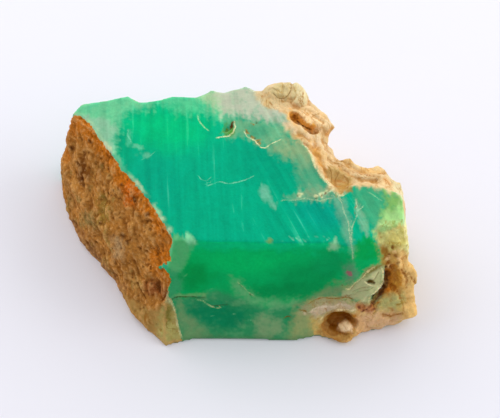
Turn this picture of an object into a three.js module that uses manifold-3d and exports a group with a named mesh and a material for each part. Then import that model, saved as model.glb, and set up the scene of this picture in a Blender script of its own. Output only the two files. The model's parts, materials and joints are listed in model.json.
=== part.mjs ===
// A rough chunk of blue-green chrysocolla in chalcedony, about 52 mm long, grown as one piece.
// A saw has left its top, its front and its underside flat. The left side is a natural wall of brown
// iron-stained crust, the back is a plain break, and the right side is a folded, cream and peach rind
// of chalcedony with nodules, ledges and hollows.
// Millimetres, +Z up. X runs along the long side, +Y away from the sawn front, and the origin is the
// middle of the bounding box on the flat underside.

import * as THREE from "three";
import { LoftGeometry } from "three/addons/geometries/LoftGeometry.js";
import { SimplexNoise } from "three/addons/math/SimplexNoise.js";
import { mergeVertices } from "three/addons/utils/BufferGeometryUtils.js";
import Module from "manifold-3d";

// The sawn top: its height over the middle of the stone, and how much it climbs towards the back
const TOP_HEIGHT = 15;
const TOP_CLIMB = 0.05;

// How finely the walls are divided: columns from a station to the next, and rows of faces above
// and below the waist
const COLUMNS = { sawn: 3, corner: 4, crust: 4, back: 3, rind: 5 };
const UPPER_ROWS = 8;
const LOWER_ROWS = 9;

// Relief of the broken and weathered walls: wave length and depth of each layer
const RELIEF = [
  { wave: 7.5, depth: 0.55 },
  { wave: 3.4, depth: 0.38 },
  { wave: 1.7, depth: 0.2 },
];
// How far the relief also carries the edge of the sawn top to and fro, and how far it lifts a point
const EDGE_SHARE = 0.35;
const LIFT_SHARE = 0.5;

// The wall is worn back a little at its foot, where the relief is also shallower
const FOOT_WEAR = 0.35;
const FOOT_SHARE = 0.4;

// How rough each kind of wall is, as a share of the relief above
const ROUGHNESS = { sawn: 0, corner: 0.4, crust: 0.85, back: 0.8, rind: 1 };

// Stations of the wall, counter-clockwise seen from above from the front left corner. Each has its
// point on the edge of the sawn top, a point part of the way down, and its point on the underside.
const STATIONS = [
  // The sawn front, in two flats that meet 5.8 mm up
  { kind: "corner", rim: [-8.0, -9.6], waist: [-9.4, -13.3, 5.8], foot: [-9.5, -17.7] },
  { kind: "sawn", rim: [-4.4, -9.7], waist: [-4.6, -13.5, 5.8], foot: [-5.4, -16.6] },
  { kind: "sawn", rim: [0.9, -9.9], waist: [0.8, -13.6, 5.8], foot: [0.8, -16.7] },
  { kind: "sawn", rim: [4.8, -10.0], waist: [4.8, -13.6, 5.8], foot: [4.6, -16.8] },
  { kind: "sawn", rim: [8.8, -10.0], waist: [9.0, -13.5, 5.8], foot: [8.4, -16.9] },
  { kind: "corner", rim: [12.8, -10.0], waist: [13.1, -13.3, 5.8], foot: [11.6, -16.1] },
  { kind: "corner", rim: [15.3, -10.6], waist: [16.8, -13.5, 6.2], foot: [15.2, -16.5] },
  // The lower right corner, where the rind hangs lower than the sawn top
  { kind: "corner", rim: [18.1, -9.0], waist: [19.3, -12.8, 6.8], foot: [18.2, -15.4] },
  { kind: "rind", rim: [19.2, -7.4], waist: [20.9, -12.6, 7.2], foot: [20.6, -14.6] },
  { kind: "rind", rim: [21.1, -7.3], waist: [22.8, -12.9, 6.0], foot: [22.8, -13.9] },
  { kind: "rind", rim: [22.7, -7.4], waist: [24.5, -11.8, 6.0], foot: [24.2, -12.6] },
  { kind: "corner", rim: [22.8, -4.9], waist: [23.7, -7.0, 8.0], foot: [24.2, -8.0] },
  { kind: "corner", rim: [22.5, -2.5], waist: [23.6, -1.6, 11.4], foot: [23.8, -1.8] },
  // The right side, where the rind slopes off the sawn top before it drops
  { kind: "corner", rim: [19.8, -1.2], waist: [22.9, 0.9, 13.0], foot: [23.5, 2.2] },
  { kind: "rind", rim: [16.6, -0.7], waist: [20.4, 2.0, 13.2], foot: [21.6, 5.4] },
  { kind: "rind", rim: [15.0, -1.7], waist: [18.0, 2.4, 13.3], foot: [19.4, 7.4] },
  { kind: "rind", rim: [13.6, -1.9], waist: [16.2, 3.6, 13.4], foot: [17.6, 9.4] },
  { kind: "rind", rim: [12.2, 0.0], waist: [14.5, 4.6, 13.4], foot: [16.0, 11.2] },
  { kind: "rind", rim: [11.1, 3.0], waist: [13.4, 6.8, 13.4], foot: [14.8, 12.8] },
  { kind: "rind", rim: [10.7, 5.4], waist: [12.9, 8.8, 13.2], foot: [13.9, 14.0] },
  { kind: "rind", rim: [9.5, 8.4], waist: [13.3, 11.2, 12.8], foot: [12.9, 15.2] },
  { kind: "rind", rim: [7.6, 11.0], waist: [11.6, 13.6, 13.2], foot: [11.4, 16.4] },
  { kind: "rind", rim: [5.2, 12.6], waist: [10.0, 15.9, 13.6], foot: [9.6, 17.4] },
  { kind: "rind", rim: [3.8, 14.2], waist: [6.4, 16.8, 14.2], foot: [6.2, 17.8] },
  // The back, a steep break that dips in and out along the edge of the top
  { kind: "back", rim: [1.6, 15.7], waist: [1.8, 17.0, 9.0], foot: [2.4, 16.6] },
  { kind: "back", rim: [-1.5, 14.5], waist: [-1.2, 16.2, 8.4], foot: [-0.8, 16.0] },
  { kind: "back", rim: [-3.2, 15.1], waist: [-3.6, 16.6, 8.0], foot: [-3.6, 16.2] },
  { kind: "back", rim: [-5.6, 14.1], waist: [-6.2, 15.6, 7.6], foot: [-6.4, 16.6] },
  { kind: "back", rim: [-8.8, 14.0], waist: [-9.4, 15.8, 7.0], foot: [-9.6, 16.4] },
  { kind: "back", rim: [-10.6, 13.4], waist: [-12.0, 15.0, 7.6], foot: [-12.4, 15.6] },
  { kind: "back", rim: [-13.4, 13.1], waist: [-14.6, 15.2, 7.4], foot: [-15.2, 15.8] },
  { kind: "back", rim: [-15.0, 14.1], waist: [-17.0, 15.8, 7.8], foot: [-17.8, 16.0] },
  { kind: "back", rim: [-17.6, 13.6], waist: [-20.0, 15.2, 8.2], foot: [-21.0, 15.4] },
  { kind: "back", rim: [-21.6, 12.7], waist: [-23.6, 14.0, 7.6], foot: [-24.6, 14.0] },
  // The crusted left wall, which leans out towards its foot
  { kind: "corner", rim: [-22.7, 10.8], waist: [-25.2, 9.8, 6.6], foot: [-26.0, 11.4] },
  { kind: "crust", rim: [-20.8, 9.0], waist: [-24.4, 6.8, 6.6], foot: [-25.4, 7.4] },
  { kind: "crust", rim: [-19.0, 7.4], waist: [-23.0, 4.2, 6.6], foot: [-24.4, 4.0] },
  { kind: "crust", rim: [-17.5, 5.2], waist: [-21.4, 1.4, 6.6], foot: [-23.2, 0.8] },
  { kind: "crust", rim: [-15.9, 2.4], waist: [-19.6, -1.4, 6.6], foot: [-21.2, -2.2] },
  { kind: "crust", rim: [-14.1, 0.2], waist: [-17.8, -3.6, 6.6], foot: [-19.0, -5.0] },
  { kind: "crust", rim: [-12.2, -2.2], waist: [-15.8, -6.2, 6.6], foot: [-16.8, -7.8] },
  { kind: "crust", rim: [-10.5, -4.9], waist: [-13.4, -8.8, 6.4], foot: [-14.9, -11.8] },
  { kind: "crust", rim: [-9.0, -7.4], waist: [-11.0, -11.2, 6.0], foot: [-12.2, -15.2] },
];

// Folds and knobs where the wall swells out: middle, half sizes, and how far the middle is pushed
const SWELLS = [
  { name: "upper fold", at: [11.6, 11.4, 14.0], half: [2.0, 2.4, 1.2], push: [1.0, 0.8, 0.9] },
  { name: "nose of the upper fold", at: [13.4, 10.4, 12.9], half: [1.2, 1.2, 1.4], push: [1.0, 0.1, 0] },
  { name: "middle fold", at: [12.4, 6.4, 13.9], half: [1.2, 2.8, 1.0], push: [0.5, 0.2, 0.8] },
  { name: "small knob", at: [16.0, 4.0, 13.4], half: [0.9, 0.9, 1.0], push: [0.1, 0.6, 0.7] },
  { name: "long fold", at: [17.4, 1.0, 13.9], half: [3.4, 0.8, 1.0], push: [0, 0.2, 0.8] },
  { name: "large knob", at: [19.5, 2.2, 13.2], half: [1.6, 0.9, 1.2], push: [0.2, 0.7, 0.7] },
  { name: "shoulder of the corner", at: [22.0, -8.6, 12.4], half: [1.8, 1.4, 1.6], push: [0.2, -0.6, 0.5] },
  { name: "side lump", at: [24.3, -10.8, 7.8], half: [1.2, 1.6, 1.8], push: [1.1, -0.3, 0] },
  { name: "lower lump", at: [23.8, -13.0, 3.2], half: [1.7, 1.9, 1.8], push: [1.0, -2.1, 0] },
  { name: "toe of the rind", at: [20.6, -14.6, 2.4], half: [2.0, 1.5, 1.6], push: [0, -0.7, 0] },
  { name: "lip under the lower hollow", at: [15.2, -15.8, 0.8], half: [2.4, 1.0, 0.9], push: [0, -1.2, 0] },
  { name: "lump under the round nodule", at: [11.0, 16.6, 8.6], half: [2.4, 2.0, 2.6], push: [0.5, 1.0, 0] },
  { name: "lump under the upper fold", at: [14.3, 12.2, 7.4], half: [2.0, 2.2, 2.2], push: [1.0, 0.5, 0] },
  { name: "foot under the middle fold", at: [15.4, 10.8, 3.2], half: [2.0, 2.2, 1.8], push: [0.8, 0.7, 0] },
  { name: "lump under the small knob", at: [17.4, 6.8, 9.2], half: [1.7, 1.8, 2.0], push: [0.6, 0.8, 0] },
  { name: "lump under the large knob", at: [20.8, 4.8, 7.0], half: [2.2, 1.9, 2.6], push: [0.3, 1.0, 0] },
];

// Rounded pieces of the rind that overhang what is below them: middle, half sizes, turn about +Z
const NODULES = [
  { name: "round nodule at the back", at: [6.3, 15.2, 14.5], half: [2.6, 1.9, 1.7], turn: 25 },
  { name: "block beside it", at: [9.1, 14.8, 13.9], half: [1.3, 2.6, 2.0], turn: 6 },
  { name: "brow of the upper fold", at: [11.4, 10.9, 14.5], half: [3.0, 1.2, 0.9], turn: -48 },
];

// Hollows that go into the stone: middle, half sizes, turn about +Z
const HOLLOWS = [
  { name: "crevice under the upper fold", at: [8.8, 10.3, 15.2], half: [1.5, 0.8, 1.7], turn: -48 },
  { name: "far end of the crevice", at: [10.6, 8.8, 14.8], half: [1.3, 0.8, 1.7], turn: -15 },
  { name: "crease beside the nodule", at: [7.9, 13.6, 15.9], half: [1.2, 0.4, 1.0], turn: 40 },
  { name: "smooth pan in the right side", at: [14.1, 0.8, 15.5], half: [1.7, 2.5, 2.0], turn: 24 },
  { name: "upper hollow in the corner", at: [21.4, -12.6, 9.0], half: [1.5, 2.2, 2.5], turn: 0 },
  { name: "gully under it", at: [20.2, -13.2, 7.0], half: [1.0, 1.3, 1.3], turn: 0 },
  { name: "middle of the gully", at: [18.8, -13.9, 5.8], half: [1.3, 1.2, 0.9], turn: 0 },
  { name: "end of the gully", at: [17.5, -14.5, 4.9], half: [1.2, 1.1, 0.6], turn: 0 },
  { name: "lower hollow", at: [14.5, -15.4, 2.3], half: [2.6, 2.4, 1.8], turn: 0 },
  { name: "pit in the sawn top", at: [-0.9, 8.5, 15.7], half: [1.1, 0.5, 0.8], turn: 50 },
];
// A pebble of pale chalcedony is left standing in the lower hollow
const PEBBLE = { at: [15.5, -15.0, 1.3], half: [1.1, 1.2, 0.9], turn: 0 };

// Nodules and hollows start from a sphere divided this finely, and their skin wavers by this share
const SPHERE_DETAIL = 3;
const WAVER = 0.13;
const WAVER_WAVE = 1.5;

// The underside is sawn at z = 0, with room to spare round the stone
const SAW_ROOM = 80;

const NOISE_SEED = 11;
THREE.MathUtils.seededRandom(NOISE_SEED);
const noise = new SimplexNoise({ random: () => THREE.MathUtils.seededRandom() });

const wasm = await Module();
wasm.setup();

// A closed geometry as a solid that can be joined and cut
function solidOf(geometry) {
  const bare = new THREE.BufferGeometry().setAttribute("position", geometry.getAttribute("position"));
  if (geometry.index) bare.setIndex(geometry.index);
  const merged = mergeVertices(bare);
  return new wasm.Manifold(
    new wasm.Mesh({
      numProp: 3,
      vertProperties: merged.attributes.position.array,
      triVerts: new Uint32Array(merged.index.array),
    }),
  );
}

// A solid as a geometry
function geometryOf(solid) {
  const { vertProperties, triVerts } = solid.getMesh();
  const geometry = new THREE.BufferGeometry();
  geometry.setAttribute("position", new THREE.BufferAttribute(vertProperties, 3));
  geometry.setIndex(new THREE.BufferAttribute(triVerts, 1));
  return geometry;
}

function topHeight(y) {
  return TOP_HEIGHT + TOP_CLIMB * y;
}

// The layers of relief added up at one point
function reliefAt(point) {
  let sum = 0;
  for (const { wave, depth } of RELIEF) {
    sum += depth * noise.noise3d(point.x / wave, point.y / wave, point.z / wave);
  }
  return sum;
}

// How far the swells push one point
function swellAt(point) {
  const sum = new THREE.Vector3();
  for (const { at, half, push } of SWELLS) {
    const away = point.clone().sub(new THREE.Vector3(...at)).divide(new THREE.Vector3(...half));
    sum.addScaledVector(new THREE.Vector3(...push), Math.exp(-away.lengthSq()));
  }
  return sum;
}

// Weathers a point of the wall. The edge of the top stays on the sawn plane, and the foot at z = 0.
function weather(point, roughness, isRim, isFoot) {
  const outward = new THREE.Vector3(point.x, point.y, 0).normalize();
  const height = reliefAt(point) * roughness * (isRim ? EDGE_SHARE : 1) * (isFoot ? FOOT_SHARE : 1);
  point.add(swellAt(point)).addScaledVector(outward, height - (isFoot ? FOOT_WEAR : 0));
  if (isRim) point.z = topHeight(point.y);
  else if (isFoot) point.z = 0;
  else point.z += height * LIFT_SHARE;
  return point;
}

// The three guide points and the roughness of one column, between a station and the next
function columnAt(index, share) {
  const here = STATIONS[index];
  const next = STATIONS[(index + 1) % STATIONS.length];
  const mix = (a, b) => new THREE.Vector3(...a).lerp(new THREE.Vector3(...b), share);
  const rim = mix([...here.rim, topHeight(here.rim[1])], [...next.rim, topHeight(next.rim[1])]);
  const waist = mix(here.waist, next.waist);
  const foot = mix([...here.foot, 0], [...next.foot, 0]);
  const roughness = THREE.MathUtils.lerp(ROUGHNESS[here.kind], ROUGHNESS[next.kind], share);
  return { rim, waist, foot, roughness };
}

// The body: rings of points from the underside up to the edge of the sawn top
function makeBody() {
  const columns = STATIONS.flatMap(({ kind }, index) =>
    Array.from({ length: COLUMNS[kind] }, (_, step) => columnAt(index, step / COLUMNS[kind])),
  );
  const rings = [];
  for (let row = 0; row <= LOWER_ROWS; row++) {
    rings.push(
      columns.map(({ waist, foot, roughness }) =>
        weather(foot.clone().lerp(waist, row / LOWER_ROWS), roughness, false, row === 0),
      ),
    );
  }
  for (let row = 1; row <= UPPER_ROWS; row++) {
    rings.push(
      columns.map(({ rim, waist, roughness }) =>
        weather(waist.clone().lerp(rim, row / UPPER_ROWS), roughness, row === UPPER_ROWS, false),
      ),
    );
  }
  return solidOf(new LoftGeometry(rings, { capStart: true, capEnd: true }));
}

// One nodule or hollow: a sphere stretched to its half sizes, with a wavering skin
function makeBlob({ at, half, turn }) {
  const sphere = new THREE.IcosahedronGeometry(1, SPHERE_DETAIL);
  sphere.scale(...half);
  sphere.rotateZ(THREE.MathUtils.degToRad(turn));
  sphere.translate(...at);
  const centre = new THREE.Vector3(...at);
  const position = sphere.getAttribute("position");
  const point = new THREE.Vector3();
  for (let i = 0; i < position.count; i++) {
    point.fromBufferAttribute(position, i);
    const waver = noise.noise3d(point.x / WAVER_WAVE, point.y / WAVER_WAVE, point.z / WAVER_WAVE);
    point.sub(centre).multiplyScalar(1 + WAVER * waver).add(centre);
    position.setXYZ(i, point.x, point.y, point.z);
  }
  return solidOf(sphere);
}

// The whole stone: the body with its nodules, less its hollows, and cut flat underneath
function makeStone() {
  let stone = makeBody();
  for (const nodule of NODULES) stone = stone.add(makeBlob(nodule));
  for (const hollow of HOLLOWS) stone = stone.subtract(makeBlob(hollow));
  stone = stone.add(makeBlob(PEBBLE));
  const below = new THREE.BoxGeometry(SAW_ROOM, SAW_ROOM, SAW_ROOM).translate(0, 0, -SAW_ROOM / 2);
  return geometryOf(stone.subtract(solidOf(below)));
}

const chrysocolla = new THREE.MeshStandardMaterial({ color: 0x10a573, roughness: 0.35, metalness: 0 });
const stone = new THREE.Mesh(makeStone(), chrysocolla);
stone.name = "chrysocolla_stone";

// The middle of the bounding box goes over the origin
const middle = new THREE.Box3().setFromObject(stone).getCenter(new THREE.Vector3());
stone.position.set(-middle.x, -middle.y, 0);

const specimen = new THREE.Group();
specimen.add(stone);

export default specimen;
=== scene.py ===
# A rough chunk of blue-green chrysocolla in chalcedony, about 51 mm long, lying on its flat underside.
# Places are written in millimetres in the stone's own frame: +X to the right, +Y to the back, +Z up.

import itertools
import json
import math

import bpy
import numpy as np
from mathutils import Matrix, Vector

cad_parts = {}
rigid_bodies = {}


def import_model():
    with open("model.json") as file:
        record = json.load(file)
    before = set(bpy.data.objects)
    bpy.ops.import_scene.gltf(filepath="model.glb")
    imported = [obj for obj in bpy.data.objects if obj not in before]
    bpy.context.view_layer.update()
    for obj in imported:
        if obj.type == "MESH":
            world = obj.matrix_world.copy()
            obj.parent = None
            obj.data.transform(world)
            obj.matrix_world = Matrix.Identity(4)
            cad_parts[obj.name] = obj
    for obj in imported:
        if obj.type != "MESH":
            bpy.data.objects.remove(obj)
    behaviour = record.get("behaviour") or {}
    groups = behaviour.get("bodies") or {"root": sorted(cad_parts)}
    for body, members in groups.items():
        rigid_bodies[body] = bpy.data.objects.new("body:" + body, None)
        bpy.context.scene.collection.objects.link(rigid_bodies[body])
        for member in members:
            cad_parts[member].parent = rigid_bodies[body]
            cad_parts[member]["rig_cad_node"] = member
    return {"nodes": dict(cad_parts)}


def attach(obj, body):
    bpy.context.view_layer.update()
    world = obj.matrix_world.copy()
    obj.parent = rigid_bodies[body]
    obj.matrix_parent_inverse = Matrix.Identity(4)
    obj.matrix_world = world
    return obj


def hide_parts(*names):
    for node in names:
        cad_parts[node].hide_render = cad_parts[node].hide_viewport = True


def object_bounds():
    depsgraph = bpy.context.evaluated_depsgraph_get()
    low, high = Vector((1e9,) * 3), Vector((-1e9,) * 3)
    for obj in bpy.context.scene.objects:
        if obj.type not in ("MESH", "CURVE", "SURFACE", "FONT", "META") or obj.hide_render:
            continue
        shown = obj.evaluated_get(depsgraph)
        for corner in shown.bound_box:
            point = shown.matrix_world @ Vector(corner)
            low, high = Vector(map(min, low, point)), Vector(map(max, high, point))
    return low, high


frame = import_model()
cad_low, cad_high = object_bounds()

MM = 0.001

# The camera looks down on the stone from the front, a little over half way up to overhead. It stands
# far enough off that the sides of the stone stay nearly parallel.
CAMERA_ELEVATION = math.radians(55)
CAMERA_DISTANCE = 194.4 * MM
CAMERA_AIM = Vector((2.63, -0.18, 8.0)) * MM
CAMERA_LENS = 100
CAMERA_SENSOR = 36

towards_camera = Vector((0, -math.cos(CAMERA_ELEVATION), math.sin(CAMERA_ELEVATION)))
bpy.ops.object.camera_add(location=CAMERA_AIM + towards_camera * CAMERA_DISTANCE)
camera = bpy.context.object
camera.rotation_euler = (math.pi / 2 - CAMERA_ELEVATION, 0, 0)
camera.data.lens = CAMERA_LENS
camera.data.sensor_width = CAMERA_SENSOR
camera.data.clip_start = 1 * MM
camera.data.clip_end = 10
bpy.context.scene.camera = camera

# The stone is one piece. A copy of the faceted solid is joined up and remeshed in small squares, which
# can carry grains, pores and cracks. The sections after this one weather it from place to place.
SAME_POINT = 0.001 * MM
SQUARE = 0.228 * MM
# areas with fine detail, each as its middle and its half sizes
FINE_AREAS = [((-4.0, 9.2, 15.4), (1.2, 1.7, 1)), ((2.2, 7.4, 15.4), (4.8, 2.4, 1)),
              ((11.2, -2.9, 15), (3.0, 1.2, 1)), ((16.9, -5.8, 14.8), (1.6, 4.6, 1)),
              ((10.4, 10.2, 14.6), (2.6, 1.9, 1.6)), ((7.0, 14.4, 15.6), (2.0, 1.4, 1.6)),
              ((18.6, -12.4, 7.4), (3.6, 3.4, 5.0)), ((21.2, -9.2, 12.8), (1.6, 1.8, 1.8)),
              ((-6.0, -13.4, 6.4), (3.2, 1.4, 0.9)), ((16.0, -14.6, 4.2), (5.4, 1.4, 1.0)),
              ((14.4, 3.0, 14.4), (2.8, 3.0, 1.2))]
UNDERSIDE_HEIGHT = 0.01 * MM
UNDERSIDE_KEPT = 0.04

bpy.ops.object.select_all(action="DESELECT")
cad_stone = frame["nodes"]["chrysocolla_stone"]
cad_stone.select_set(True)
bpy.context.view_layer.objects.active = cad_stone
bpy.ops.object.duplicate()
stone = bpy.context.object
stone.name = "weathered_stone"
stone.parent = None
del stone["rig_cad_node"]
bpy.ops.object.mode_set(mode="EDIT")
bpy.ops.mesh.select_all(action="SELECT")
bpy.ops.mesh.remove_doubles(threshold=SAME_POINT)
bpy.ops.mesh.normals_make_consistent(inside=False)
bpy.ops.object.mode_set(mode="OBJECT")
squares = stone.modifiers.new("squares", "REMESH")
squares.mode = "VOXEL"
squares.voxel_size = SQUARE
squares.use_smooth_shade = True
bpy.ops.object.modifier_apply(modifier="squares")

# the flat underside needs no such squares
bpy.ops.object.mode_set(mode="EDIT")
bpy.ops.mesh.select_mode(type="FACE")
bpy.ops.mesh.select_all(action="DESELECT")
bpy.ops.object.mode_set(mode="OBJECT")
for face in stone.data.polygons:
    face.select = all(stone.data.vertices[corner].co.z < UNDERSIDE_HEIGHT for corner in face.vertices)
bpy.ops.object.mode_set(mode="EDIT")
bpy.ops.mesh.decimate(ratio=UNDERSIDE_KEPT)
bpy.ops.mesh.select_all(action="DESELECT")
bpy.ops.object.mode_set(mode="OBJECT")
# and the areas with fine detail need finer ones
middles = np.empty(len(stone.data.polygons) * 3)
stone.data.polygons.foreach_get("center", middles)
middles = middles.reshape(-1, 3) / MM
fine = np.zeros(len(middles), bool)
for place, halves in FINE_AREAS:
    fine |= np.linalg.norm((middles - place) / halves, axis=1) < 1
stone.data.polygons.foreach_set("select", fine)
bpy.ops.object.mode_set(mode="EDIT")
bpy.ops.mesh.subdivide(number_cuts=1)
bpy.ops.object.mode_set(mode="OBJECT")

# From here on the stone's points are worked on in mm: where they are, which way they face, how far each
# is moved out or in, and which points lie beside it.
mesh = stone.data
count = len(mesh.vertices)
points = np.empty(count * 3)
mesh.vertices.foreach_get("co", points)
points = points.reshape(-1, 3) / MM
normals = np.empty(count * 3)
mesh.vertices.foreach_get("normal", normals)
normals = normals.reshape(-1, 3)
edge_ends = np.empty(len(mesh.edges) * 2, int)
mesh.edges.foreach_get("vertices", edge_ends)
edge_ends = edge_ends.reshape(-1, 2)
neighbours = np.bincount(edge_ends.ravel(), minlength=count)
underside = points[:, 2] < 0.03
to_front = -normals[:, 1]
lift = np.zeros(count)

# a block of chance slopes, turned askew to the stone, from which all ripples on it are made
CHANCE_CELLS = 32
CHANCE = np.random.default_rng(11).normal(size=(CHANCE_CELLS, CHANCE_CELLS, CHANCE_CELLS, 3))
CHANCE /= np.linalg.norm(CHANCE, axis=-1, keepdims=True)
ASKEW = np.array(Matrix.Rotation(0.9, 3, (0.5, 0.3, 0.8)))
CELLS_PER_WAVE = 0.6
SEED_STEP = 7.31
RIPPLE_GAIN = 1.7


def ripple(wave, seed=0, stretch=(1, 1, 1), turn=0):
    """Smooth chance values from about -1 to 1 at the stone's points. wave is their length in mm. They may
    be stretched, in directions turned about Z by some degrees."""
    place = points @ np.array(Matrix.Rotation(math.radians(turn), 3, "Z"))
    place = (place / np.array(stretch)) @ ASKEW / (wave * CELLS_PER_WAVE) + seed * SEED_STEP
    corner = np.floor(place).astype(int)
    inner = place - corner
    share = inner * inner * (3 - 2 * inner)
    total = np.zeros(count)
    for step in itertools.product((0, 1), repeat=3):
        part = np.where(step, share, 1 - share).prod(1)
        slope = CHANCE[tuple(((corner + step) % CHANCE_CELLS).T)]
        total += part * (slope * (inner - step)).sum(1)
    return np.clip(total * RIPPLE_GAIN, -1, 1)


def ramp(values, start, end):
    """Smoothly from 0 at start to 1 at end."""
    share = np.clip((values - start) / (end - start), 0, 1)
    return share * share * (3 - 2 * share)


def blotches(wave, seed, fine_wave, fine_seed, start, end, fine_share=0.4):
    """Chance blotches from 0 to 1, frayed by finer ones, where a ripple goes from start to end."""
    return ramp(ripple(wave, seed) + fine_share * ripple(fine_wave, fine_seed), start, end)


def evened(values, times):
    """Values at the points, averaged that many times with the points beside them."""
    for _ in range(times):
        total = values + np.bincount(edge_ends[:, 0], values[edge_ends[:, 1]], count)
        total += np.bincount(edge_ends[:, 1], values[edge_ends[:, 0]], count)
        values = total / (neighbours + 1)
    return values


def tint(red, green, blue, light):
    """The stone's colour where it shows that screen colour, 0 to 255, under that share of full light."""
    share = np.array([red, green, blue]) / 255
    # the curve of sRGB, from the screen's values to amounts of light
    linear = np.where(share > 0.04045, ((share + 0.055) / 1.055) ** 2.4, share / 12.92)
    return np.minimum(linear / light, 0.98)


def from_above(light):
    """The view from above: its directions across and up, how well the stone's points face it, and the
    share of full light that falls on what is drawn in it. It takes in the sawn top alone."""
    return np.eye(3)[:, :2], ramp(points[:, 2], 12.2, 13.0), light


def from_camera(light):
    """The same for the view from the camera, which takes in all that faces it."""
    across_and_up = np.array([[1, 0], [0, math.sin(CAMERA_ELEVATION)], [0, math.cos(CAMERA_ELEVATION)]])
    return across_and_up, ramp(normals @ towards_camera, 0.0, 0.2), light


# The colour of the points so far, and what makes the edges of colours wander, fray, fade and streak. The
# clouds of the sawn top look combed along the saw lines.
paint = np.zeros((count, 3))
wander = 0.5 * ripple(3.0, 31) + 0.35 * ripple(1.3, 32) + 0.25 * ripple(0.6, 33)
drift = np.stack([0.6 * ripple(3.2, seed) + 0.35 * ripple(1.3, seed + 1) + 0.15 * ripple(0.6, seed + 2)
                  for seed in (21, 24, 27)], 1)
fret = 0.6 * ripple(0.9, 34) + 0.5 * ripple(0.45, 35)
mottle = 0.3 * blotches(1.5, 38, 0.6, 39, 0.0, 0.7, 0.6)
comb = np.outer(0.9 * ripple(0.8, 30, (1, 9, 1)) * ramp(points[:, 2], 14.0, 14.5), (-0.2, 1, 0))
# the nearest vein to each point: how far beside it in widths of the vein, how strong, and its colour
FAR_OFF = 9.0
vein_side = np.full(count, FAR_OFF)
vein_show = np.zeros(count)
vein_paint = np.zeros((count, 3))


def beside(places, line):
    """How many mm places in a view lie beside a line, above 0 on its left, and how far inside its ends."""
    line = np.array(line, float)
    side = np.full(len(places), np.inf)
    inside_ends = np.full(len(places), np.inf)
    last = len(line) - 2
    for number, (start, end) in enumerate(zip(line[:-1], line[1:])):
        along = end - start
        length = np.linalg.norm(along)
        gap = places - start
        passed = gap @ along / length
        away = np.linalg.norm(gap - np.outer(np.clip(passed, 0, length) / length, along), axis=1)
        left = np.where(along[0] * gap[:, 1] > along[1] * gap[:, 0], 1, -1)
        inner = np.full(len(places), np.inf)
        if number == 0:
            inner = np.minimum(inner, passed)
        if number == last:
            inner = np.minimum(inner, length - passed)
        nearer = away < np.abs(side)
        side[nearer] = (away * left)[nearer]
        inside_ends[nearer] = inner[nearer]
    return side, inside_ends


def inside_of(places, outline):
    """Whether places in a view lie inside a closed outline."""
    inside = np.zeros(len(places), bool)
    for (ax, ay), (bx, by) in zip(outline, outline[1:] + outline[:1]):
        if ay != by:
            crosses = (ay > places[:, 1]) != (by > places[:, 1])
            inside ^= crosses & (places[:, 0] < ax + (places[:, 1] - ay) * (bx - ax) / (by - ay))
    return inside


def beyond(edge, far_corners):
    """Distance in mm to an edge line, above 0 on the side of the far corners in plan, below 0 elsewhere."""
    line = np.array(edge, float)
    best = np.full(count, np.inf)
    for start, end in zip(line[:-1], line[1:]):
        along = end - start
        share = np.clip((points - start) @ along / (along @ along), 0, 1)
        best = np.minimum(best, np.linalg.norm(points - start - np.outer(share, along), axis=1))
    inside = inside_of(points[:, :2], [place[:2] for place in edge] + far_corners)
    return np.where(inside, 1, -1) * best


def wash(colour, weight):
    """Lays a colour over the stone's own, as thick as weight says at each point."""
    global paint
    weight = np.clip(weight, 0, 1)[:, None]
    paint = paint * (1 - weight) + colour * weight


def patch(colour, place, halves, turn=0, strength=1.0, soft=0.9, ragged=0.3):
    """Lays a colour over an egg-shaped patch, turned about Z in degrees, with a soft and ragged edge."""
    across = (points + drift - place) @ np.array(Matrix.Rotation(math.radians(turn), 3, "Z"))
    reach = np.linalg.norm(across / halves, axis=1) + ragged * wander
    wash(colour, strength * ramp(reach, 1 + soft / 2, 1 - soft / 2))


def zone(colour, view, outline, strength=1.0, soft=0.6, ragged=0.35):
    """Lays a screen colour inside an outline drawn in a view, with an edge that many mm soft and ragged."""
    axes, facing, light = view
    places = (points + comb + (ragged + 0.15) * drift) @ axes
    reach = np.array(outline)
    near = ((places > reach.min(0) - 2 * soft) & (places < reach.max(0) + 2 * soft)).all(1) & (facing > 0)
    places = places[near]
    inward = np.where(inside_of(places, outline), 1, -1)
    depth = inward * np.abs(beside(places, outline + outline[:1])[0]) + 0.7 * soft * fret[near]
    weight = np.zeros(count)
    weight[near] = strength * facing[near] * ramp(depth, -0.8 * soft, 0.8 * soft)
    wash(tint(*colour, light), weight * (1 - mottle))


def spot(colour, view, middle, size, strength=0.9):
    """Lays a screen colour over a small ragged spot drawn in a view."""
    (across, up), half = middle, 0.6 * size
    zone(colour, view, [(across - size, up), (across - half, up + half), (across + half, up + size),
                        (across + size, up), (across + half, up - size), (across - half, up - half)],
         strength, 0.2, 0.25)


VEIN_SHOWS = 0.65
VEIN_IS_FULL = 0.3
VEIN_REACH = 1


def vein(colour, view, line, width, strength=1.0, meander=0.2, cut=0.0):
    """Marks a thin line drawn in a view, for the skin to colour, and cuts the stone along it, all in mm."""
    axes, facing, light = view
    places = (points + meander * drift) @ axes
    reach = np.array(line)
    near = ((places > reach.min(0) - VEIN_REACH) & (places < reach.max(0) + VEIN_REACH)).all(1)
    near = np.flatnonzero(near & (facing > 0))
    side, inside_ends = beside(places[near], line)
    nearer = np.abs(side) / width < np.abs(vein_side[near])
    near, side, inside_ends = near[nearer], side[nearer], inside_ends[nearer]
    vein_side[near] = side / width
    ended = ramp(inside_ends, -0.1, 0.25)
    vein_show[near] = strength * facing[near] * ramp(np.abs(side), VEIN_SHOWS, VEIN_IS_FULL) * ended
    vein_paint[near] = tint(*colour, light)
    lift[near] -= cut * ramp(np.abs(side), 2.5 * width, 0.5 * width) * ended


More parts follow.
